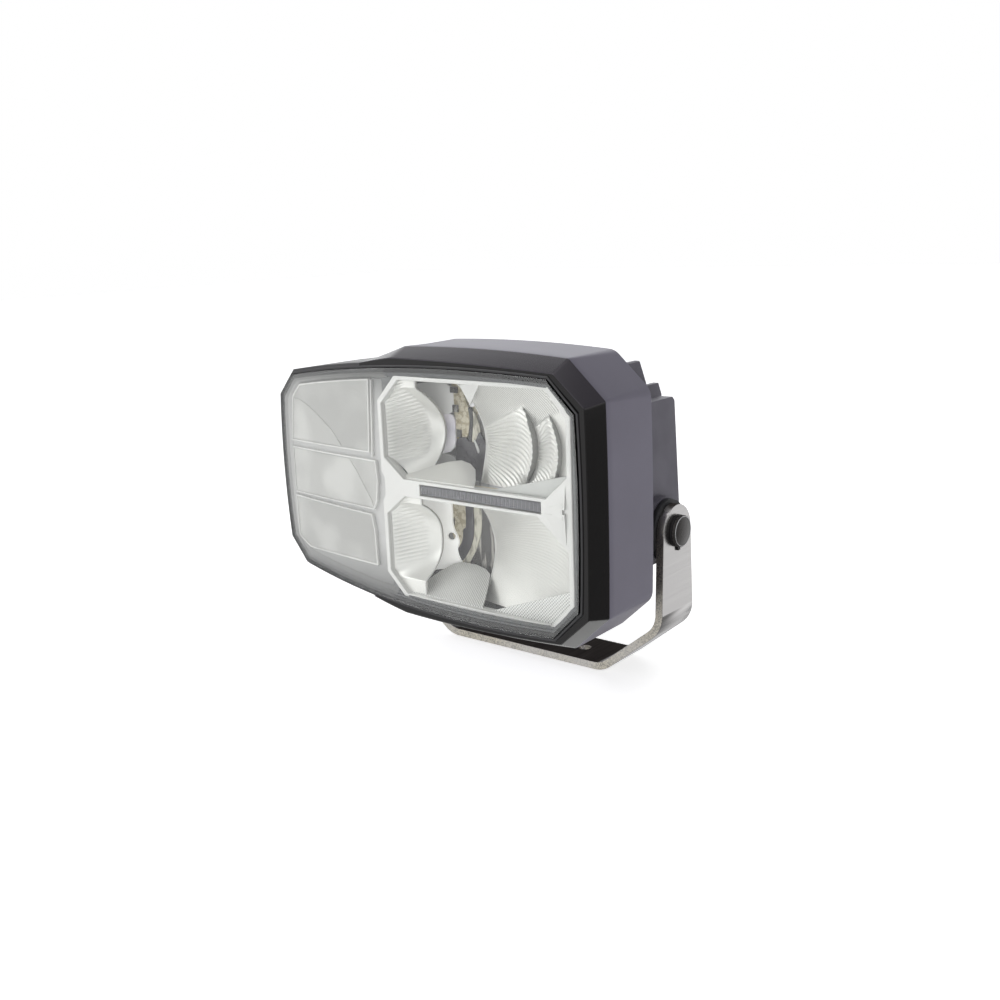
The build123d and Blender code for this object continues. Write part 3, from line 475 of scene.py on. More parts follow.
# ---- mesh helpers ------------------------------------------------
def finish_piece(mesh, name, slot, material, smooth_angle):
    """Wraps a mesh as a piece of the lamp head: clean normals, the finish (its slot's when none is named) and
    the body it rides on.
    """
    work = bmesh.new()
    work.from_mesh(mesh)
    bmesh.ops.remove_doubles(work, verts=work.verts, dist=1e-6)
    bmesh.ops.recalc_face_normals(work, faces=work.faces)
    work.to_mesh(mesh)
    work.free()
    mesh.shade_smooth()
    mesh.set_sharp_from_angle(angle=math.radians(smooth_angle))
    mesh.materials.clear()
    mesh.materials.append(MATERIALS[material or slot])
    piece = bpy.data.objects.new(name, mesh)
    bpy.context.scene.collection.objects.link(piece)
    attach(piece, HEAD_BODY)
    return piece


def build(name, solid, slot, material=None, origin=HEAD, smooth_angle=30.0):
    """A piece from a solid, which is points in millimetres about an origin, and faces."""
    points, faces = solid
    mesh = bpy.data.meshes.new(name)
    mesh.from_pydata([origin + Vector(p) * MM for p in points], [], faces)
    return finish_piece(mesh, name, slot, material, smooth_angle)


def sheet_faces(columns, rows, start=0, flip=False):
    """Quads of a grid of points stored column by column."""
    faces = []
    for i in range(columns - 1):
        for j in range(rows - 1):
            a = start + i * rows + j
            quad = (a, a + rows, a + rows + 1, a + 1)
            faces.append(quad[::-1] if flip else quad)
    return faces


def slab_from_grid(front, back):
    """Closed solid between two grids of points of the same size."""
    columns, rows = len(front), len(front[0])
    points = [p for grid in (front, back) for column in grid for p in column]
    half = columns * rows
    faces = sheet_faces(columns, rows) + sheet_faces(columns, rows, half, True)
    edge = list(range(0, half, rows)) + list(range(half - rows + 1, half))
    edge += list(range(half - 1 - rows, 0, -rows)) + list(range(rows - 2, 0, -1))
    for a, b in zip(edge, edge[1:] + edge[:1]):
        faces.append((a, a + half, b + half, b))
    return points, faces


def strip_solid(sections):
    """Closed solid through cross-sections of the same size, with end caps."""
    count, size = len(sections), len(sections[0])
    points = [p for section in sections for p in section]
    faces = []
    for a in range(0, (count - 1) * size, size):
        for j in range(size):
            k = (j + 1) % size
            faces.append((a + j, a + size + j, a + size + k, a + k))
    faces.append(tuple(range(size)))
    faces.append(tuple(reversed(range((count - 1) * size, count * size))))
    return points, faces


def prism(name, top, bottom, slot, material=None):
    """Solid between two outlines with the same number of points."""
    count = len(top)
    faces = [tuple(range(count)), tuple(reversed(range(count, 2 * count)))]
    for i in range(count):
        k = (i + 1) % count
        faces.append((i, i + count, k + count, k))
    build(name, (list(top) + list(bottom), faces), slot, material)


def plate(name, loops, front, thick, slot, material=None, bevel=0.3, smooth_angle=30.0, follow_lens=False,
          lean=0.0):
    """Flat piece cut to closed outlines in (x, z), the first outside and the rest holes, with eased edges.

    It can follow the curve of the lens, or lean out to the left of the left bowls' edge.
    """
    curve = bpy.data.curves.new(name, "CURVE")
    curve.dimensions = "2D"
    curve.fill_mode = "BOTH"
    curve.extrude = max(thick / 2 - bevel, 0.01)
    curve.bevel_depth = bevel
    curve.bevel_resolution = 2
    curve.offset = -bevel
    for loop in loops:
        spline = curve.splines.new("POLY")
        spline.points.add(len(loop) - 1)
        for point, (x, z) in zip(spline.points, loop):
            point.co = (x, z, 0, 1)
        spline.use_cyclic_u = True
    holder = bpy.data.objects.new(name + "_outline", curve)
    bpy.context.scene.collection.objects.link(holder)
    mesh = bpy.data.meshes.new_from_object(holder)
    bpy.data.objects.remove(holder)
    if follow_lens:
        cut_across(mesh, 6.0)
    for vertex in mesh.vertices:
        x, z, depth = vertex.co
        y = front + thick / 2 - depth + lean * min(0.0, x - LINING_EDGE_X)
        if follow_lens:
            y += lens_face(x)
        vertex.co = HEAD + Vector((x, y, z)) * MM
    return finish_piece(mesh, name, slot, material, smooth_angle)


def curved_plate(name, loops, front, thick, slot, material, bevel, smooth_angle=30.0):
    """Plate that follows the curve of the lens."""
    return plate(name, loops, front, thick, slot, material, bevel, smooth_angle, follow_lens=True)


def cut_across(mesh, pitch):
    """Cuts a mesh by upright planes so that it can bend."""
    work = bmesh.new()
    work.from_mesh(mesh)
    low = min(v.co.x for v in work.verts)
    high = max(v.co.x for v in work.verts)
    for i in range(1, int((high - low) / pitch) + 1):
        geometry = work.verts[:] + work.edges[:] + work.faces[:]
        bmesh.ops.bisect_plane(work, geom=geometry, plane_co=(low + i * pitch, 0, 0), plane_no=(1, 0, 0))
    work.to_mesh(mesh)
    work.free()


# ---- outlines ----------------------------------------------------
def lens_face(x):
    """Depth of the curved lens face at x."""
    return (x - LENS_VERTEX_X) ** 2 / (2 * LENS_R)


def arch(x):
    """Half height of the lens outline at x."""
    return LENS_HALF_H - (x - ARCH_X) ** 2 / (2 * ARCH_R)


def shares(steps):
    """Evenly spaced numbers from 0 to 1."""
    return [i / steps for i in range(steps + 1)]


def clamp(value):
    """The value kept between 0 and 1."""
    return max(0.0, min(1.0, value))


def arc_points(start, end, bulge, steps):
    """Points from start to end, bowed to the left by bulge."""
    dx, dz = end[0] - start[0], end[1] - start[1]
    length = math.hypot(dx, dz)
    points = []
    for t in shares(steps):
        bow = bulge * 4 * t * (1 - t) / length
        points.append((start[0] + dx * t - dz * bow, start[1] + dz * t + dx * bow))
    return points


def lens_outline(grow, arch_steps=40, side_steps=8):
    """The lens outline grown evenly, clockwise from its top left corner."""
    slide = grow * math.tan(math.radians(22.5))
    x_left, x_right = -LENS_HALF_W + LEFT_CUT - slide, LENS_HALF_W - RIGHT_CUT + slide
    across = [x_left + (x_right - x_left) * t for t in shares(arch_steps)]
    upper = [(x, arch(x) + grow) for x in across]
    right, right_z = LENS_HALF_W + grow, RIGHT_CORNER_Z + slide
    left, left_z = -LENS_HALF_W - grow, LEFT_CORNER_Z + slide
    right_side = arc_points((right, right_z), (right, -right_z), RIGHT_BULGE, side_steps)
    left_side = arc_points((left, -left_z), (left, left_z), LEFT_BULGE, side_steps)
    return upper + right_side + [(x, -z) for x, z in reversed(upper)] + left_side


def cell(which, grow=0.0):
    """One of the two openings in the trim, grown evenly: a rectangle with cut corners."""
    low, high, (top_left, top_right, low_right, low_left) = CELLS[which]
    left, right, low, high = CELL_LEFT - grow, CELL_RIGHT + grow, low - grow, high + grow
    return [(left, high - top_left[1]), (left + top_left[0], high), (right - top_right[0], high),
            (right, high - top_right[1]), (right, low + low_right[1]), (right - low_right[0], low),
            (left + low_left[0], low), (left, low + low_left[1])]


def span_at(loop, x):
    """Lowest and highest z of a convex outline at x."""
    heights = []
    for (x0, z0), (x1, z1) in zip(loop, loop[1:] + loop[:1]):
        if abs(x1 - x0) < 1e-9:
            if abs(x - x0) < 1e-6:
                heights += [z0, z1]
        elif min(x0, x1) - 1e-9 <= x <= max(x0, x1) + 1e-9:
            heights.append(z0 + (z1 - z0) * (x - x0) / (x1 - x0))
    return min(heights), max(heights)


def inset(loop, distance):
    """A convex outline moved inwards on every side."""
    middle = sum((Vector(p) for p in loop), Vector((0, 0))) / len(loop)
    result = []
    for i, point in enumerate(loop):
        before, here, after = Vector(loop[i - 1]), Vector(point), Vector(loop[(i + 1) % len(loop)])
        normals = []
        for side in (here - before, after - here):
            normal = Vector((-side.y, side.x)).normalized()
            normals.append(normal if normal.dot(middle - here) > 0 else -normal)
        bisector = (normals[0] + normals[1]).normalized()
        result.append(tuple(here + bisector * (distance / max(bisector.dot(normals[0]), 0.3))))
    return result


def softened(loop, times=2):
    """A closed outline with its corners cut again and again until it runs smoothly."""
    for _ in range(times):
        cut = []
        for i, a in enumerate(loop):
            b = loop[(i + 1) % len(loop)]
            cut.append((a[0] * 0.8 + b[0] * 0.2, a[1] * 0.8 + b[1] * 0.2))
            cut.append((a[0] * 0.2 + b[0] * 0.8, a[1] * 0.2 + b[1] * 0.8))
        loop = cut
    return loop


def circle(centre, radius, steps=28):
    """Points round a circle."""
    angles = [2 * math.pi * i / steps for i in range(steps)]
    return [(centre[0] + radius * math.cos(a), centre[1] + radius * math.sin(a)) for a in angles]


# ---- shell, lens and frame ---------------------------------------
def shell_path(half, inward, corner, arch_steps=44, corner_steps=6, side_steps=10):
    """Outline of the shell from the upper run-out, round the right side, to the lower run-out."""
    run_out, shoulder, corner_z, side_x, side_z = half
    slide = inward * math.tan(math.radians(22.5))
    x_corner = SHELL_RIGHT_CUT_X - slide
    crown = ARCH_R - math.sqrt(ARCH_R ** 2 - ((x_corner - SHELL_SHOULDER_X) / 2) ** 2)
    shoulder_point = (SHELL_SHOULDER_X, shoulder - inward)
    top_right = (x_corner, corner_z - inward)
    side_top = (side_x - inward, side_z - slide)
    upper = arc_points((SHELL_LEFT_X, run_out - inward), shoulder_point, 0.0, 8)[:-1]
    upper += arc_points(shoulder_point, top_right, crown, arch_steps)[:-1]
    upper = round_corner(upper, top_right, side_top, corner, corner_steps)
    upper = round_corner(upper, side_top, (side_top[0], 0.0), corner, corner_steps)
    side = [(side_top[0] + RIGHT_BULGE / 2 * (1 - t ** 2), upper[-1][1] * t)
            for t in reversed(shares(side_steps)[:-1])]
    upper += side
    return upper + [(x, -z) for x, z in reversed(upper[:-1])]


def round_corner(points, corner, onward, radius, steps):
    """Adds a corner rounded to a radius, coming from the last point and going on towards another."""
    corner = Vector(corner)
    back, ahead = Vector(points[-1]) - corner, Vector(onward) - corner
    reach = radius * math.tan((math.pi - back.angle(ahead)) / 2)
    kept = [p for p in points if (Vector(p) - corner).length > reach + 0.2]
    a, b = corner + back.normalized() * reach, corner + ahead.normalized() * reach
    rounded = [a * (1 - t) ** 2 + corner * 2 * t * (1 - t) + b * t * t for t in shares(steps)]
    return resample(kept, len(points)) + [tuple(p) for p in rounded]


def resample(points, count):
    """The same line with a given number of points, keeping its ends."""
    if len(points) == count:
        return points
    points = [Vector(p) for p in points]
    lengths = [0.0]
    for a, b in zip(points, points[1:]):
        lengths.append(lengths[-1] + (b - a).length)
    result, k = [], 0
    for share in shares(count - 1):
        while k < len(points) - 2 and lengths[k + 1] < lengths[-1] * share:
            k += 1
        t = (lengths[-1] * share - lengths[k]) / max(lengths[k + 1] - lengths[k], 1e-9)
        result.append(tuple(points[k] + (points[k + 1] - points[k]) * t))
    return result


def make_front_shell():
    """Painted shell: bevel, softened edge, walls that draw in to large rear corners."""
    front = shell_path(SHELL_FRONT_HALF, 0.0, 2.0)
    edge = shell_path(SHELL_BACK_HALF, 0.0, 2.2)
    rear = shell_path(SHELL_BACK_HALF, 0.0, 9.0)
    front_in = shell_path(SHELL_FRONT_HALF, SHELL_WALL, 0.8)
    rear_in = shell_path(SHELL_BACK_HALF, SHELL_WALL, 6.0)
    reach = BEVEL_BACK_Y - BEVEL_FRONT_Y
    sections = []
    for path_points in zip(front, edge, rear, front_in, rear_in):
        f, e, r, inner, r_in = (Vector(p) for p in path_points)
        start = lens_face(f.x) + SHELL_SETBACK
        t = max(0.0, (start - BEVEL_FRONT_Y) / reach)
        lead = f.lerp(e, t)
        line = [(lead.lerp(inner, 0.9), start + 0.1), (lead + (inner - lead).normalized() * 0.35, start),
                (f.lerp(e, t + 0.35 / reach), start + 0.35)]
        for back, drop in ((BEVEL_EASE, 0.0), (BEVEL_EASE * 0.35, 0.04), (0.0, 0.12)):
            share = 1 - back / reach
            p = f.lerp(e, share)
            line.append((p + (inner - p).normalized() * drop, BEVEL_FRONT_Y + reach * share))
        line.append((e + (inner - e).normalized() * 0.03, BEVEL_BACK_Y + BEVEL_EASE * 0.6))
        for share in (0.1, 0.4, 0.7, 0.97):
            line.append((e.lerp(r, share), BEVEL_BACK_Y + (SHELL_BACK - BEVEL_BACK_Y) * share))
        line += [(r.lerp(r_in, 0.3), SHELL_BACK), (r_in, SHELL_BACK), (r_in, BEVEL_BACK_Y + 2)]
        sections.append([(p.x, y, p.y) for p, y in line])
    piece = build("shell_skin", strip_solid(sections), "anthracite", smooth_angle=24.0)
    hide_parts("front_shell")


def make_lens():
    """Clear curved cover."""
    piece = curved_plate("lens_cover", [lens_outline(-GROOVE)], 0.0, LENS_T, "clear_polycarbonate", None, 0.2,
                         40.0)
    piece.visible_shadow = False
    piece.visible_diffuse = False
    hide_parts("outer_lens")


def rim_strip(name, section, wing, slot, material=None):
    """Strip along the lens edge, round the wing or round the main lamp; section is (grow, depth) pairs."""
    rings = [lens_outline(grow) for grow, _ in section]
    on_wing = [x < WING_SPLIT_X for x, _ in rings[0]]
    count, wing_length = len(on_wing), sum(on_wing)
    start = next(i for i in range(count) if on_wing[i] and not on_wing[i - 1])
    if wing:
        order = [(start + k) % count for k in range(wing_length)]
    else:
        order = [(start + wing_length - 1 + k) % count for k in range(count - wing_length + 2)]
    sections = [[(ring[i][0], depth + lens_face(ring[i][0]), ring[i][1])
                 for ring, (_, depth) in zip(rings, section)] for i in order]
    return build(name, strip_solid(sections), slot, material)


def make_lens_frame():
    """Dark steps and face round the main lamp, a pale sloping wall round the wing, and the seal."""
    for step, outer, inner, front in ((1, -2.7, -3.6, 3.5), (2, -3.6, -4.7, 4.6)):
        section = [(outer, front + 0.15), (outer - 0.15, front), (inner + 0.15, front),
                   (inner, front + 0.15), (inner, 8.5), (outer, 8.5)]
        piece = rim_strip(f"lens_frame_step_{step}", section, False, "mask_plastic")
        if step == 1:
            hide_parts("lens_frame")
    border = [p for p in lens_outline(-4.2) if p[0] > FRAME_LEFT_X]
    border = [(FRAME_LEFT_X, border[-1][1]), (FRAME_LEFT_X, border[0][1])] + border
    curved_plate("lens_frame_face", [border, bezel_outline()], 6.6, 2.0, "mask_plastic", "mask_light", 0.3)
    # the wing's walls carry painted shade; the outer strip, nearer the rim, takes the darker copy
    strips = (
        ("wing_slope", "white_tray", "wing_wall",
         ((-3.9, 4.72), (-5.2, 6.0), (-5.8, 6.8), (-5.8, 7.6), (-3.9, 5.5))),
        ("wing_slope_outer", "white_tray", "wing_wall_outer",
         ((-2.7, 3.55), (-3.9, 4.72), (-3.9, 5.5), (-2.7, 4.2))),
        ("wing_border", "mask_plastic", "mask_dark",
         ((-1.2, 3.05), (-2.0, 3.15), (-2.7, 3.55), (-2.7, 4.2), (-1.2, 3.7))),
    )
    for name, slot, material, section in strips:
        rim_strip(name, section, True, slot, material)
    for name, wing, inner in (("seal_ring_wing", True, -1.15), ("seal_ring_main", False, -2.68)):
        section = [(-0.6, 3.05), (inner, 3.05), (inner, 3.75), (-0.6, 3.75)]
        piece = rim_strip(name, section, wing, "seal_rubber")
        if wing:
            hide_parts("lens_seal")


# ---- optics ------------------------------------------------------
def bezel_outline():
    """Outside of the bright trim."""
    return [(CELL_LEFT - 2.6, 43.2), (CELL_LEFT + 9.9, 56.2), (CELL_RIGHT - 9.4, 56.2),
            (CELL_RIGHT + 2.6, 43.2), (CELL_RIGHT + 2.6, -45.6), (CELL_RIGHT - 9.4, -57.6),
            (CELL_LEFT + 9.4, -57.6), (CELL_LEFT - 2.6, -45.6), (CELL_LEFT - 2.6, -8.0),
            (CELL_LEFT - 0.6, -5.0), (CELL_LEFT - 0.6, 4.0), (CELL_LEFT - 2.6, 7.0)]


def make_bezel():
    """Bright trim round the two openings, with the light bar's slot."""
    left, right, high = BAR_LEFT - 0.5, BAR_RIGHT + 0.5, BAR_HALF_H + 0.4
    slot_hole = [(left, high), (right, high), (right, -high), (left, -high)]
    piece = plate("bezel_face", [bezel_outline(), cell("upper"), cell("lower"), slot_hole], BEZEL_Y, BEZEL_T,
                  "bright_trim", bevel=0.5)
    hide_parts("inner_bezel")
    for which in CELLS:
        plate(f"bezel_wall_{which}", [cell(which, 1.1), cell(which)], BEZEL_Y + BEZEL_T - 0.2, 3.2,
              "bright_trim", bevel=0.2)


def edge_depth(z, peak, middle, fall, power=2.0):
    """Depth of a reflector's open edge at height z."""
    return max(LEFT_BOWL_Y, peak - fall * abs(z - middle) ** power)


def bowl_grid(loop, x_of, depth, columns, rows):
    """Front and back grids of a reflector over part of an opening; a column's x can vary with z."""
    front = []
    for i in range(columns):
        column = []
        for j in range(rows):
            v = j / (rows - 1)
            x = x_of(i, 0.0)
            for _ in range(3):
                low, high = span_at(loop, x)
                z = low * (1 - v) + high * v
                x = x_of(i, z)
            column.append((x, depth(i, x, z), z))
        front.append(column)
    return front, [[(x, y + BOWL_T, z) for x, y, z in column] for column in front]


def make_left_bowl(which, peak, middle, fall, power, ribs, rib_depth):
    """Left reflector: fine near-level ribs on a curved wall, with a smooth band towards its open edge."""
    loop = cell(which, 0.6)
    left = min(x for x, _ in loop)
    low, high = min(z for _, z in loop), max(z for _, z in loop)
    columns, rows = 46, 190

    def x_of(i, z):
        return left + (LEFT_BOWL_EDGE - left) * i / (columns - 1)

    def depth(i, x, z):
        u = i / (columns - 1)
        open_edge = edge_depth(z, peak, middle, fall, power)
        slant = z - RIB_SLANT * (x - left)
        wave = abs(math.sin(math.pi * ribs * (slant - low) / (high - low)))
        fade = clamp(u / 0.12) * clamp((0.7 - u) / 0.12) * clamp((slant - middle + RIB_DROP) / 4.0)
        return LEFT_BOWL_Y + (open_edge - LEFT_BOWL_Y) * (1 - (1 - u) ** 1.7) - rib_depth * wave * fade

    name = f"bowl_{which}_left"
    front, back = bowl_grid(loop, x_of, depth, columns, rows)
    piece = build(name, slab_from_grid(front, back), "reflector_metal", smooth_angle=50.0)
    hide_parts(f"reflector_{which}_left")
    add_edge_bead(name + "_edge", front[-1])


def make_right_bowl(which, peak, middle, fall, teeth, pitch, flute_depth, smooth_from, foot):
    """Right reflector: zones that step back at curved ridges, with flutes that hook down at each ridge."""
    loop = cell(which, 0.6)
    right = max(x for x, _ in loop)
    stepped = any(teeth)
    zones = ((0, 40), (41, 66), (67, 82)) if stepped else ((0, 82),)    # first and last column of each
    columns, rows = zones[-1][1] + 1, 200

    def ridge(k, z):
        """The x where zone k begins."""
        if k == 0:
            share = clamp((foot[1] + 10.0 - z) / 10.0)
            return RIGHT_BOWL_EDGE + (foot[0] - RIGHT_BOWL_EDGE) * share ** 2
        if k == len(zones):
            return right
        top, bend, rise = RIDGES[k - 1]
        return top - bend * (z - middle - rise) ** 2

    def zone_of(i):
        """The zone of a column, and how far across the zone it is."""
        k = next(k for k, (_, last) in enumerate(zones) if i <= last)
        first, last = zones[k]
        return k, (i - first) / (last - first)

    def x_of(i, z):
        k, u = zone_of(i)
        a, b = ridge(k, z), ridge(k + 1, z)
        return min(a + (b - a) * u + (TOOTH_GAP if k and u == 0 else 0.0), right)

    def depth(i, x, z):
        k, u = zone_of(i)
        share = (edge_depth(z, peak, middle, fall) - RIGHT_BOWL_Y) / (peak - RIGHT_BOWL_Y)
        window = clamp(min((middle + 21.0 - z) / 7.0, (z - middle + 17.0) / 7.0))
        across = (x - ridge(0, z)) / (right - ridge(0, z))
        wall = (peak - RIGHT_BOWL_Y) * max(1 - across, 0.0) ** 0.9 - teeth[k] * window * u ** 1.5
        spread = (z - middle + 2.0 + 8.0 * u ** 6) / (0.4 + 0.6 * u)
        wave = abs(math.sin(math.pi * spread / pitch))
        limit = smooth_from + FLUTE_RISE * (x - ridge(k, z)) + FLUTE_STEP * k
        fade = min(1.0, u / 0.15, max(0.0, (limit - z) / 0.6)) if k < 2 else 0.0
        return RIGHT_BOWL_Y + wall * share - flute_depth * (0.4 + wave) * fade

    name = f"bowl_{which}_right"
    front, back = bowl_grid(loop, x_of, depth, columns, rows)
    piece = build(name, slab_from_grid(front, back), "reflector_metal", "hatched" if stepped else None,
                  smooth_angle=40.0)
    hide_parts(f"reflector_{which}_right")
    add_edge_bead(name + "_edge", front[0])
    for k in range(1, len(zones)):
        first = zones[k][0]
        add_step_wall(f"{name}_step_{k}", front[first - 1], front[first])


def add_step_wall(name, front_line, deep_line):
    """Darker, duller strip over the wall where a reflector zone steps back: painted shade on the step."""
    pairs = [(near, far) for near, far in zip(front_line, deep_line) if far[1] - near[1] > 0.5]
    face = [[(x0 + 0.34, y0 + 0.05, z0), (x1 + 0.12, y1, z1)] for (x0, y0, z0), (x1, y1, z1) in pairs[::2]]
    rear = [[(x - 0.2, y, z) for x, y, z in pair] for pair in face]
    build(name, slab_from_grid(face, rear), "reflector_metal", "step_coat")


def add_edge_bead(name, line, radius=0.45):
    """Rounded bright bead along a reflector's open edge."""
    centre = [Vector(p) for p in line[::max(1, len(line) // 60)]]
    side = Vector((1, 0, 0))
    sections = []
    for i, p in enumerate(centre):
        along = centre[min(i + 1, len(centre) - 1)] - centre[max(i - 1, 0)]
        up = along.cross(side).normalized()
        sections.append([tuple(p + side * radius * math.cos(a) + up * radius * math.sin(a))
                         for a in (math.pi * k / 4 for k in range(8))])
    build(name, strip_solid(sections), "bright_trim", smooth_angle=60.0)


def make_reflectors():
    make_left_bowl("upper", peak=29.6, middle=26.0, fall=0.0345, power=2.0, ribs=28, rib_depth=0.8)
    make_left_bowl("lower", peak=23.2, middle=-28.0, fall=0.0058, power=2.6, ribs=26, rib_depth=0.4)
    make_right_bowl("upper", peak=29.3, middle=22.5, fall=0.0198, teeth=(3.6, 2.4, 0.0), pitch=2.9,
                    flute_depth=0.6, smooth_from=29.5, foot=(32.5, 4.5))
    make_right_bowl("lower", peak=33.0, middle=-31.0, fall=0.0185, teeth=(0.0,), pitch=2.0,
                    flute_depth=0.14, smooth_from=-14.0, foot=(30.0, -55.5))


def make_facets():
    """Facets that close the openings below and beside the bowls, and those where the trim widens."""
    floors = (      # opening, finish, outline in plan
        ("upper", None, ((-10, 9.2), (-2, 14), (4, 19), (11, 23), (18, 25), (25, 23.5), (31, 20), (36, 14),
                         (39, 9.2))),
        ("lower", "dotted", ((-11, 9.2), (-2.9, 17.5), (0, 25), (4, 31), (8, 33), (18, 33), (25, 31.5),
                             (30, 29), (36, 19), (41, 9.2))),
    )
    for which, finish, outline in floors:
        low = CELLS[which][0]
        top = [(x, y, low + CHANNEL_FLOOR_SLOPE * (y - CHANNEL_FLOOR_Y)) for x, y in outline]
        prism(f"channel_floor_{which}", top, [(x, y, z - 1.0) for x, y, z in top], "reflector_metal", finish)
    right, low = CELL_RIGHT, CELLS["upper"][0]
    plate("corner_facet_upper", [[(49, low), (right - 1, 16), (right, 15), (right - 12, low)]], FACET_Y,
          FACET_T, "reflector_metal", "grey_coat", bevel=0.2)
    low = CELLS["lower"][0]
    corner = [(47, low), (right - 1.5, -38.4), (right, -39), (right, low + 11), (right - 11, low)]
    plate("corner_facet_lower", [corner], FACET_Y, FACET_T, "reflector_metal", "dotted", bevel=0.2)
    for name, face in WAIST_FACETS:
        prism(name, face, [(x, BEZEL_Y + 0.6, z) for x, _, z in face], "bright_trim")
    prism("web_upper", WEB_FACE, [(x, y + 1.2, z + 0.2) for x, y, z in WEB_FACE], "bright_trim")


def chambers():
    """Outlines of the three indicator chambers."""
    top_edge = [(x, arch(x) - 5.9) for x in (-87.0, -72.0, -56.0, -41.0, -27.0)]
    return {
        "upper": [(-98.3, 14.8), (-94.6, 39.4)] + top_edge + [(-28.6, 30.0), (-29.8, 15.4)],
        "middle": [(-98.6, -14.4), (-98.2, 11.6), (-25.4, 11.8), (-24.4, 1.4), (-26.0, -9.3), (-28.8, -14.5)],
        "lower": [(-88.0, -44.8), (-98.4, -39.8), (-98.9, -16.0), (-30.8, -17.0), (-29.0, -26.0),
                  (-28.5, -44.4)],
    }


def make_indicator():
    """Frosted chambers of the wing, each with a bright border, standing on a grey wall."""
    wall = [p for p in lens_outline(-5.6) if p[0] < WING_RIGHT]
    split = next(i for i in range(1, len(wall)) if wall[i][1] < 0 < wall[i - 1][1])
    side = [(CELL_LEFT - 1.0, wall[i][1]) for i in (split - 1, split)]
    wall = wall[:split] + side + wall[split:]
    piece = curved_plate("indicator_wall", [wall], 6.4, 1.6, "white_tray", "wing_wall", 0.2)
    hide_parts("indicator_diffuser")
    for name, loop in chambers().items():
        curved_plate(f"indicator_face_{name}", [inset(loop, 0.5)], 5.0, 1.6, "frosted", None, 0.3)
        border = [loop, inset(loop, 0.8)]
        curved_plate(f"indicator_border_{name}", border, 4.5, 2.1, "bright_trim", "border_white", 0.25)
    folds = {
        "upper": ((-96.8, 16.2), (-93.6, 38.4), (-88, 38.4), (-80, 35.4), (-72, 31.4), (-60, 24.2),
                  (-52.5, 16.4)),
        "middle": ((-97.2, -13.2), (-96.8, 10.4), (-46.6, 10.4), (-41, 4.5), (-35.5, -3), (-30.5, -9.5),
                   (-29, -13.2)),
    }
    # the lit side of each fold is painted in the paler copy of the frosted finish
    for name, loop in folds.items():
        curved_plate(f"indicator_fold_{name}", [loop], 4.75, 0.6, "frosted", "frosted_light", 0.15)
    line = [(-25.9, 53.0), (-25.2, 53.0), (-27.6, 13.5), (-28.3, 13.5)]
    curved_plate("indicator_rib", [line], 4.8, 1.8, "bright_trim", "border_white", 0.15)


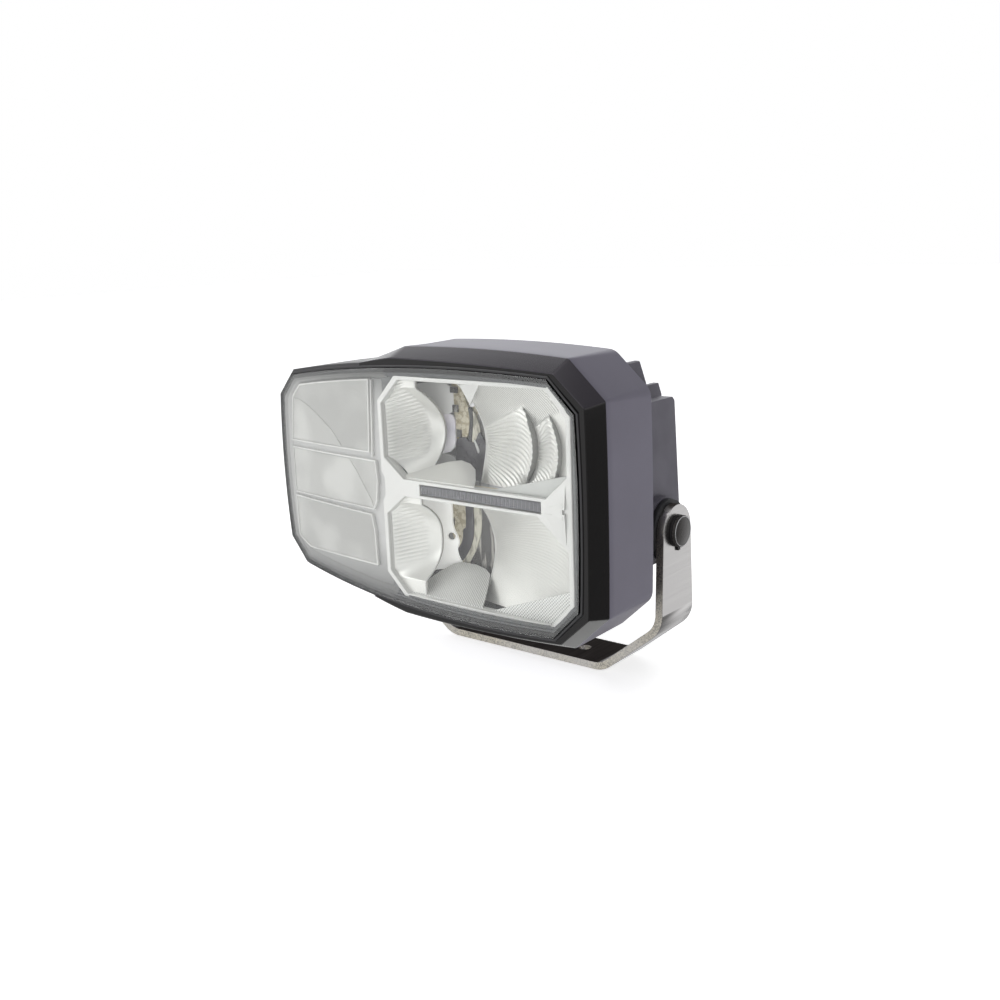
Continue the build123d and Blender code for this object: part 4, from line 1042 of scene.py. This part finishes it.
def make_channel():
    """Linings, board fronts and curved shields seen between the left and right bowls."""
    shapes = (      # name, slot, finish, front depth, outline in (x, z)
        ("lining_upper_top", "reflector_metal", "board_grey", 34.6,
         ((-14, 50), (6, 50), (6.2, 34.2), (-3, 33.2), (-14, 36))),
        ("lining_upper_band", "reflector_metal", "lavender", 34.2,
         ((-3, 33.4), (7.0, 34.4), (6.4, 13.8), (-12, 13.4), (-12, 33))),
        ("lining_upper_foot", "reflector_metal", "dark_facet", 33.9,
         ((-14, 13.6), (6.6, 13.8), (6.4, 2), (-14, 2))),
        ("board_front_upper", "board", None, 34.9,
         ((4.2, 51), (12, 51), (13.5, 41), (16.5, 36), (16, 31), (14.2, 22), (6.6, 21.5), (6.6, 36))),
        ("shield_upper_inner", "component", None, 34.5,
         ((15.2, 38), (17.4, 38), (18.6, 33), (17.8, 26), (16.2, 20), (14.2, 20), (15.8, 27), (16.2, 33))),
        ("shield_upper_middle", "board", "pale_board", 34.3,
         ((18.4, 37), (21.2, 33), (23.2, 27), (21.6, 21), (17, 20), (18.2, 27), (18.9, 33))),
        ("shield_upper_lower", "component", "smoke", 34.0,
         ((6.6, 21.8), (13.4, 22.8), (16.2, 20.6), (19.4, 20.4), (22.8, 27.2), (26.5, 20), (30, 1),
          (6.2, 1))),
        ("shield_upper_glint", "reflector_metal", "grey_coat", 33.8,
         ((18.6, 22), (20, 21.8), (22.6, 16.6), (21.4, 14.6))),
        ("shield_upper_outer", "component", "mottled", 34.6,
         ((21, 36), (30, 36), (31, 4), (22, 4), (24.6, 18), (23.4, 27))),
        ("lining_lower", "reflector_metal", "lit_coat", 34.4,
         ((-16, -3), (2, -3), (3, -16), (2.6, -24.4), (6, -33), (4.4, -37), (7.4, -46), (-16, -50))),
        ("board_front_lower", "board", None, 34.9,
         ((-0.6, -8), (11.2, -8), (11, -24.6), (9, -25.4), (8.6, -31), (6.4, -34.8), (3, -38), (0, -26),
          (-1, -19))),
        ("shield_lower_inner", "component", "smoke", 34.1,
         ((11.2, -8), (16, -8), (16.3, -24), (15.6, -29.6), (12.6, -36.4), (7.4, -43.4), (5.8, -41),
          (4, -37), (6.4, -34.8), (8.4, -31), (8.8, -25.4), (11, -24.8))),
        ("shield_lower_middle", "board", "pale_board", 34.4,
         ((16.2, -8), (20, -8), (21.6, -20), (20.4, -27), (16.6, -36.4), (10, -46), (7, -43), (12.6, -36.4),
          (15.6, -29.6), (16.4, -22))),
        ("shield_lower_outer", "component", "mottled", 34.7,
         ((19, -8), (31, -8), (31, -52), (12, -52), (12, -43), (17, -35.6), (20.6, -27), (21.4, -19))),
    )
    for name, slot, finish, front, outline in shapes:
        loops = [softened(outline)]
        if name == "lining_lower":      # a round hole through it
            loops.append(circle((2.0, -30.0), 2.0))
        plate(name, loops, front, 1.2, slot, finish, bevel=0.15, lean=0.5 if "lining" in name else 0.0)
    blocks = (      # x, z, half width, half height
        (6.6, 46.2, 2.6, 1.5), (7.3, 36.8, 1.8, 1.8), (8.7, 24.2, 1.7, 1.9), (0.9, -17.0, 1.0, 1.8),
        (1.9, -22.6, 0.8, 2.0))
    for number, (x, z, half_x, half_z) in enumerate(blocks, 1):
        loop = [(x - half_x, z - half_z), (x + half_x, z - half_z), (x + half_x, z + half_z),
                (x - half_x, z + half_z)]
        plate(f"board_part_{number}", [loop], 33.9, 1.2, "component", "mottled")


def rounded_bar(x, half_width, front, rear, half_height):
    """Small upright bar with a rounded front."""
    profile = [(-half_width, rear)]
    profile += [(half_width * share, front + drop)
                for share, drop in ((-1, 0.25), (-0.5, 0.05), (0, 0.0), (0.5, 0.05), (1, 0.25))]
    profile.append((half_width, rear))
    return strip_solid([[(x + dx, y, z) for dx, y in profile] for z in (-half_height, half_height)])


def make_light_bar():
    """Smoked light guide with a row of paler upright ribs across its face."""
    section = ((-BAR_HALF_H, 0.3), (-BAR_HALF_H + 0.35, 0.0), (BAR_HALF_H - 0.35, 0.0), (BAR_HALF_H, 0.3))
    across = [BAR_LEFT + (BAR_RIGHT - BAR_LEFT) * t for t in shares(40)]
    front = [[(x, BEZEL_Y + 0.8 + drop, z) for z, drop in section] for x in across]
    back = [[(x, BAR_BACK, z) for z, _ in section] for x in across]
    piece = build("light_bar", slab_from_grid(front, back), "light_guide", smooth_angle=20.0)
    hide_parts("drl_light_guide")
    pitch = (BAR_RIGHT - BAR_LEFT) / BAR_RIBS
    for first, row, material in ((0, "even", "rib_grey"), (1, "odd", "rib_dark")):
        points, faces = [], []
        for i in range(first, BAR_RIBS, 2):
            x = BAR_LEFT + (i + 0.5) * pitch
            corners, sides = rounded_bar(x, pitch * 0.34, BEZEL_Y + 0.5, BEZEL_Y + 1.0, BAR_HALF_H - 0.5)
            faces += [tuple(k + len(points) for k in face) for face in sides]
            points += corners
        build(f"light_bar_ribs_{row}", (points, faces), "light_guide", material, smooth_angle=35.0)


# ---- bolt heads --------------------------------------------------
def turned(name, profile, side, material, steps=72, knurl=None):
    """Lathed part of a bolt on the tilt axis: profile is (distance from the middle, radius), end to end.

    A knurl is (first, last, depth): those profile points alternate in radius round the piece.
    """
    points, faces = [], []
    size = len(profile)
    for i in range(steps):
        angle = 2 * math.pi * i / steps
        for j, (along, radius) in enumerate(profile):
            if knurl and knurl[0] <= j <= knurl[1] and i % 3 == 0:
                radius -= knurl[2]
            points.append((side * along, radius * math.cos(angle), PIVOT_Z + radius * math.sin(angle)))
        for j in range(size - 1):
            a, b = i * size + j, ((i + 1) % steps) * size + j
            faces.append((a, b, b + 1, a + 1))
    return build(name, (points, faces), "black_hardware", material, Vector((0, 0, 0)))


def make_bolt_heads():
    """Low domed bolt heads with a notched flange and a bright ring at its edge, a painted highlight."""
    seat, rim, top = BOLT_SEAT, BOLT_SEAT + FLANGE_T, BOLT_SEAT + FLANGE_T + DOME_H
    curve = (DOME_R ** 2 + DOME_H ** 2) / (2 * DOME_H)
    radii = [DOME_R * (1 - t) for t in shares(8)[1:]]
    head = [(seat - 3.0, 0.0), (seat - 3.0, 4.0), (seat, 4.0), (seat, 7.3), (seat + 0.25, FLANGE_R),
            (rim - 0.3, FLANGE_R), (rim, FLANGE_R - 0.35), (rim, DOME_R)]
    head += [(top - curve + math.sqrt(curve ** 2 - r ** 2), r) for r in radii]
    # a bright zinc ring where the head shows a highlight between flange and dome: painted highlight
    ring = [(rim - 0.05, 7.5), (rim + 0.14, 7.42), (rim + 0.14, 7.16), (rim - 0.05, 7.1), (rim - 0.05, 7.5)]
    for side, place in ((1, "right"), (-1, "left")):
        piece = turned(f"bolt_head_{place}", head, side, "bolt_black", knurl=(4, 5, 0.28))
        if side == 1:
            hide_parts("pivot_bolts")
        turned(f"bolt_highlight_ring_{place}", ring, side, "zinc_steel")


# ---- stage, lights and camera ------------------------------------
def make_stage():
    """Plain pale floor."""
    half = FLOOR_SIZE * MM / 2
    mesh = bpy.data.meshes.new("floor")
    mesh.from_pydata([(-half, -half, 0), (half, -half, 0), (half, half, 0), (-half, half, 0)], [],
                     [(0, 1, 2, 3)])
    floor = bpy.data.objects.new("floor", mesh)
    bpy.context.scene.collection.objects.link(floor)
    mesh.materials.append(MATERIALS["floor"])
    floor.visible_glossy = False


def add_light(name, place, side, power):
    """Square soft light aimed at the lamp."""
    light = bpy.data.lights.new(name, "AREA")
    light.shape = "RECTANGLE"
    light.size = light.size_y = side * MM
    light.energy = power
    holder = bpy.data.objects.new(name, light)
    holder.location = Vector(place) * MM
    towards = Vector(LIGHTS_AIM) * MM - holder.location
    holder.rotation_euler = towards.to_track_quat("-Z", "Y").to_euler()
    holder.visible_camera = False
    bpy.context.scene.collection.objects.link(holder)


def make_world():
    """White to the camera; to everything else a dim studio with soft bright regions."""
    world = bpy.data.worlds.new("studio")
    world.use_nodes = True
    bpy.context.scene.world = world
    tree = world.node_tree
    tree.nodes.clear()
    direction = add_node(tree, "TexCoord").outputs["Generated"]
    level = STUDIO_LEVEL
    for aim, start, end, strength in STUDIO_REGIONS:
        links = {0: direction, 1: Vector(aim).normalized()}
        towards = add_node(tree, "VectorMath", links, operation="DOT_PRODUCT").outputs["Value"]
        links = {"Value": towards, "From Min": start, "From Max": end, "To Max": strength}
        share = add_node(tree, "MapRange", links, interpolation_type="SMOOTHSTEP").outputs["Result"]
        level = add_node(tree, "Math", {0: share, 1: level}).outputs[0]
    studio = add_node(tree, "Background", {"Strength": level, "Color": (0.98, 0.99, 1.0, 1)})
    white = add_node(tree, "Background", {"Color": (1, 1, 1, 1)})
    seen = add_node(tree, "LightPath").outputs["Is Camera Ray"]
    mix = add_node(tree, "MixShader", {0: seen, 1: studio.outputs[0], 2: white.outputs[0]})
    add_node(tree, "OutputWorld", {"Surface": mix.outputs[0]})


def make_camera():
    """Camera at the viewing angle, given by azimuth, elevation and a slight roll."""
    turns = ((CAMERA_AZIMUTH, "Z"), (90.0 - CAMERA_ELEVATION, "X"), (-CAMERA_ROLL, "Z"))
    place = Matrix.Translation(Vector(CAMERA_PLACE) * MM)
    for angle, axis in turns:
        place = place @ Matrix.Rotation(math.radians(angle), 4, axis)
    data = bpy.data.cameras.new("camera")
    data.lens, data.sensor_width = CAMERA_LENS, SENSOR
    data.clip_start, data.clip_end = 0.01, 50.0
    camera = bpy.data.objects.new("camera", data)
    camera.matrix_world = place
    bpy.context.scene.collection.objects.link(camera)
    bpy.context.scene.camera = camera


# ---- finishes on the CAD parts -----------------------------------
def dress_cad_nodes():
    """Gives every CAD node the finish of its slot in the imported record."""
    for entry in frame["record"]["subparts"]:
        node = frame["nodes"][entry["node"]]
        node.data.materials.clear()
        node.data.materials.append(MATERIALS[entry["material_slot"]])


def ease_edges(name, width, angle=30.0):
    """Welds a CAD node's seams and rounds its sharp edges a little, without moving it."""
    node = frame["nodes"][name]
    weld = node.modifiers.new("weld", "WELD")
    weld.merge_threshold = 1e-6
    bevel = node.modifiers.new("bevel", "BEVEL")
    bevel.width = width * MM
    bevel.segments = 2
    bevel.limit_method = "ANGLE"
    bevel.angle_limit = math.radians(angle)
    bevel.harden_normals = True


bpy.context.scene.view_settings.view_transform = "Standard"
make_camera()
make_stage()
make_world()
for light_settings in LIGHTS:
    add_light(*light_settings)
dress_cad_nodes()
for easing in EASED_NODES:
    ease_edges(*easing)
make_front_shell()
make_lens()
make_lens_frame()
make_bezel()
make_reflectors()
make_facets()
make_channel()
make_indicator()
make_light_bar()
make_bolt_heads()
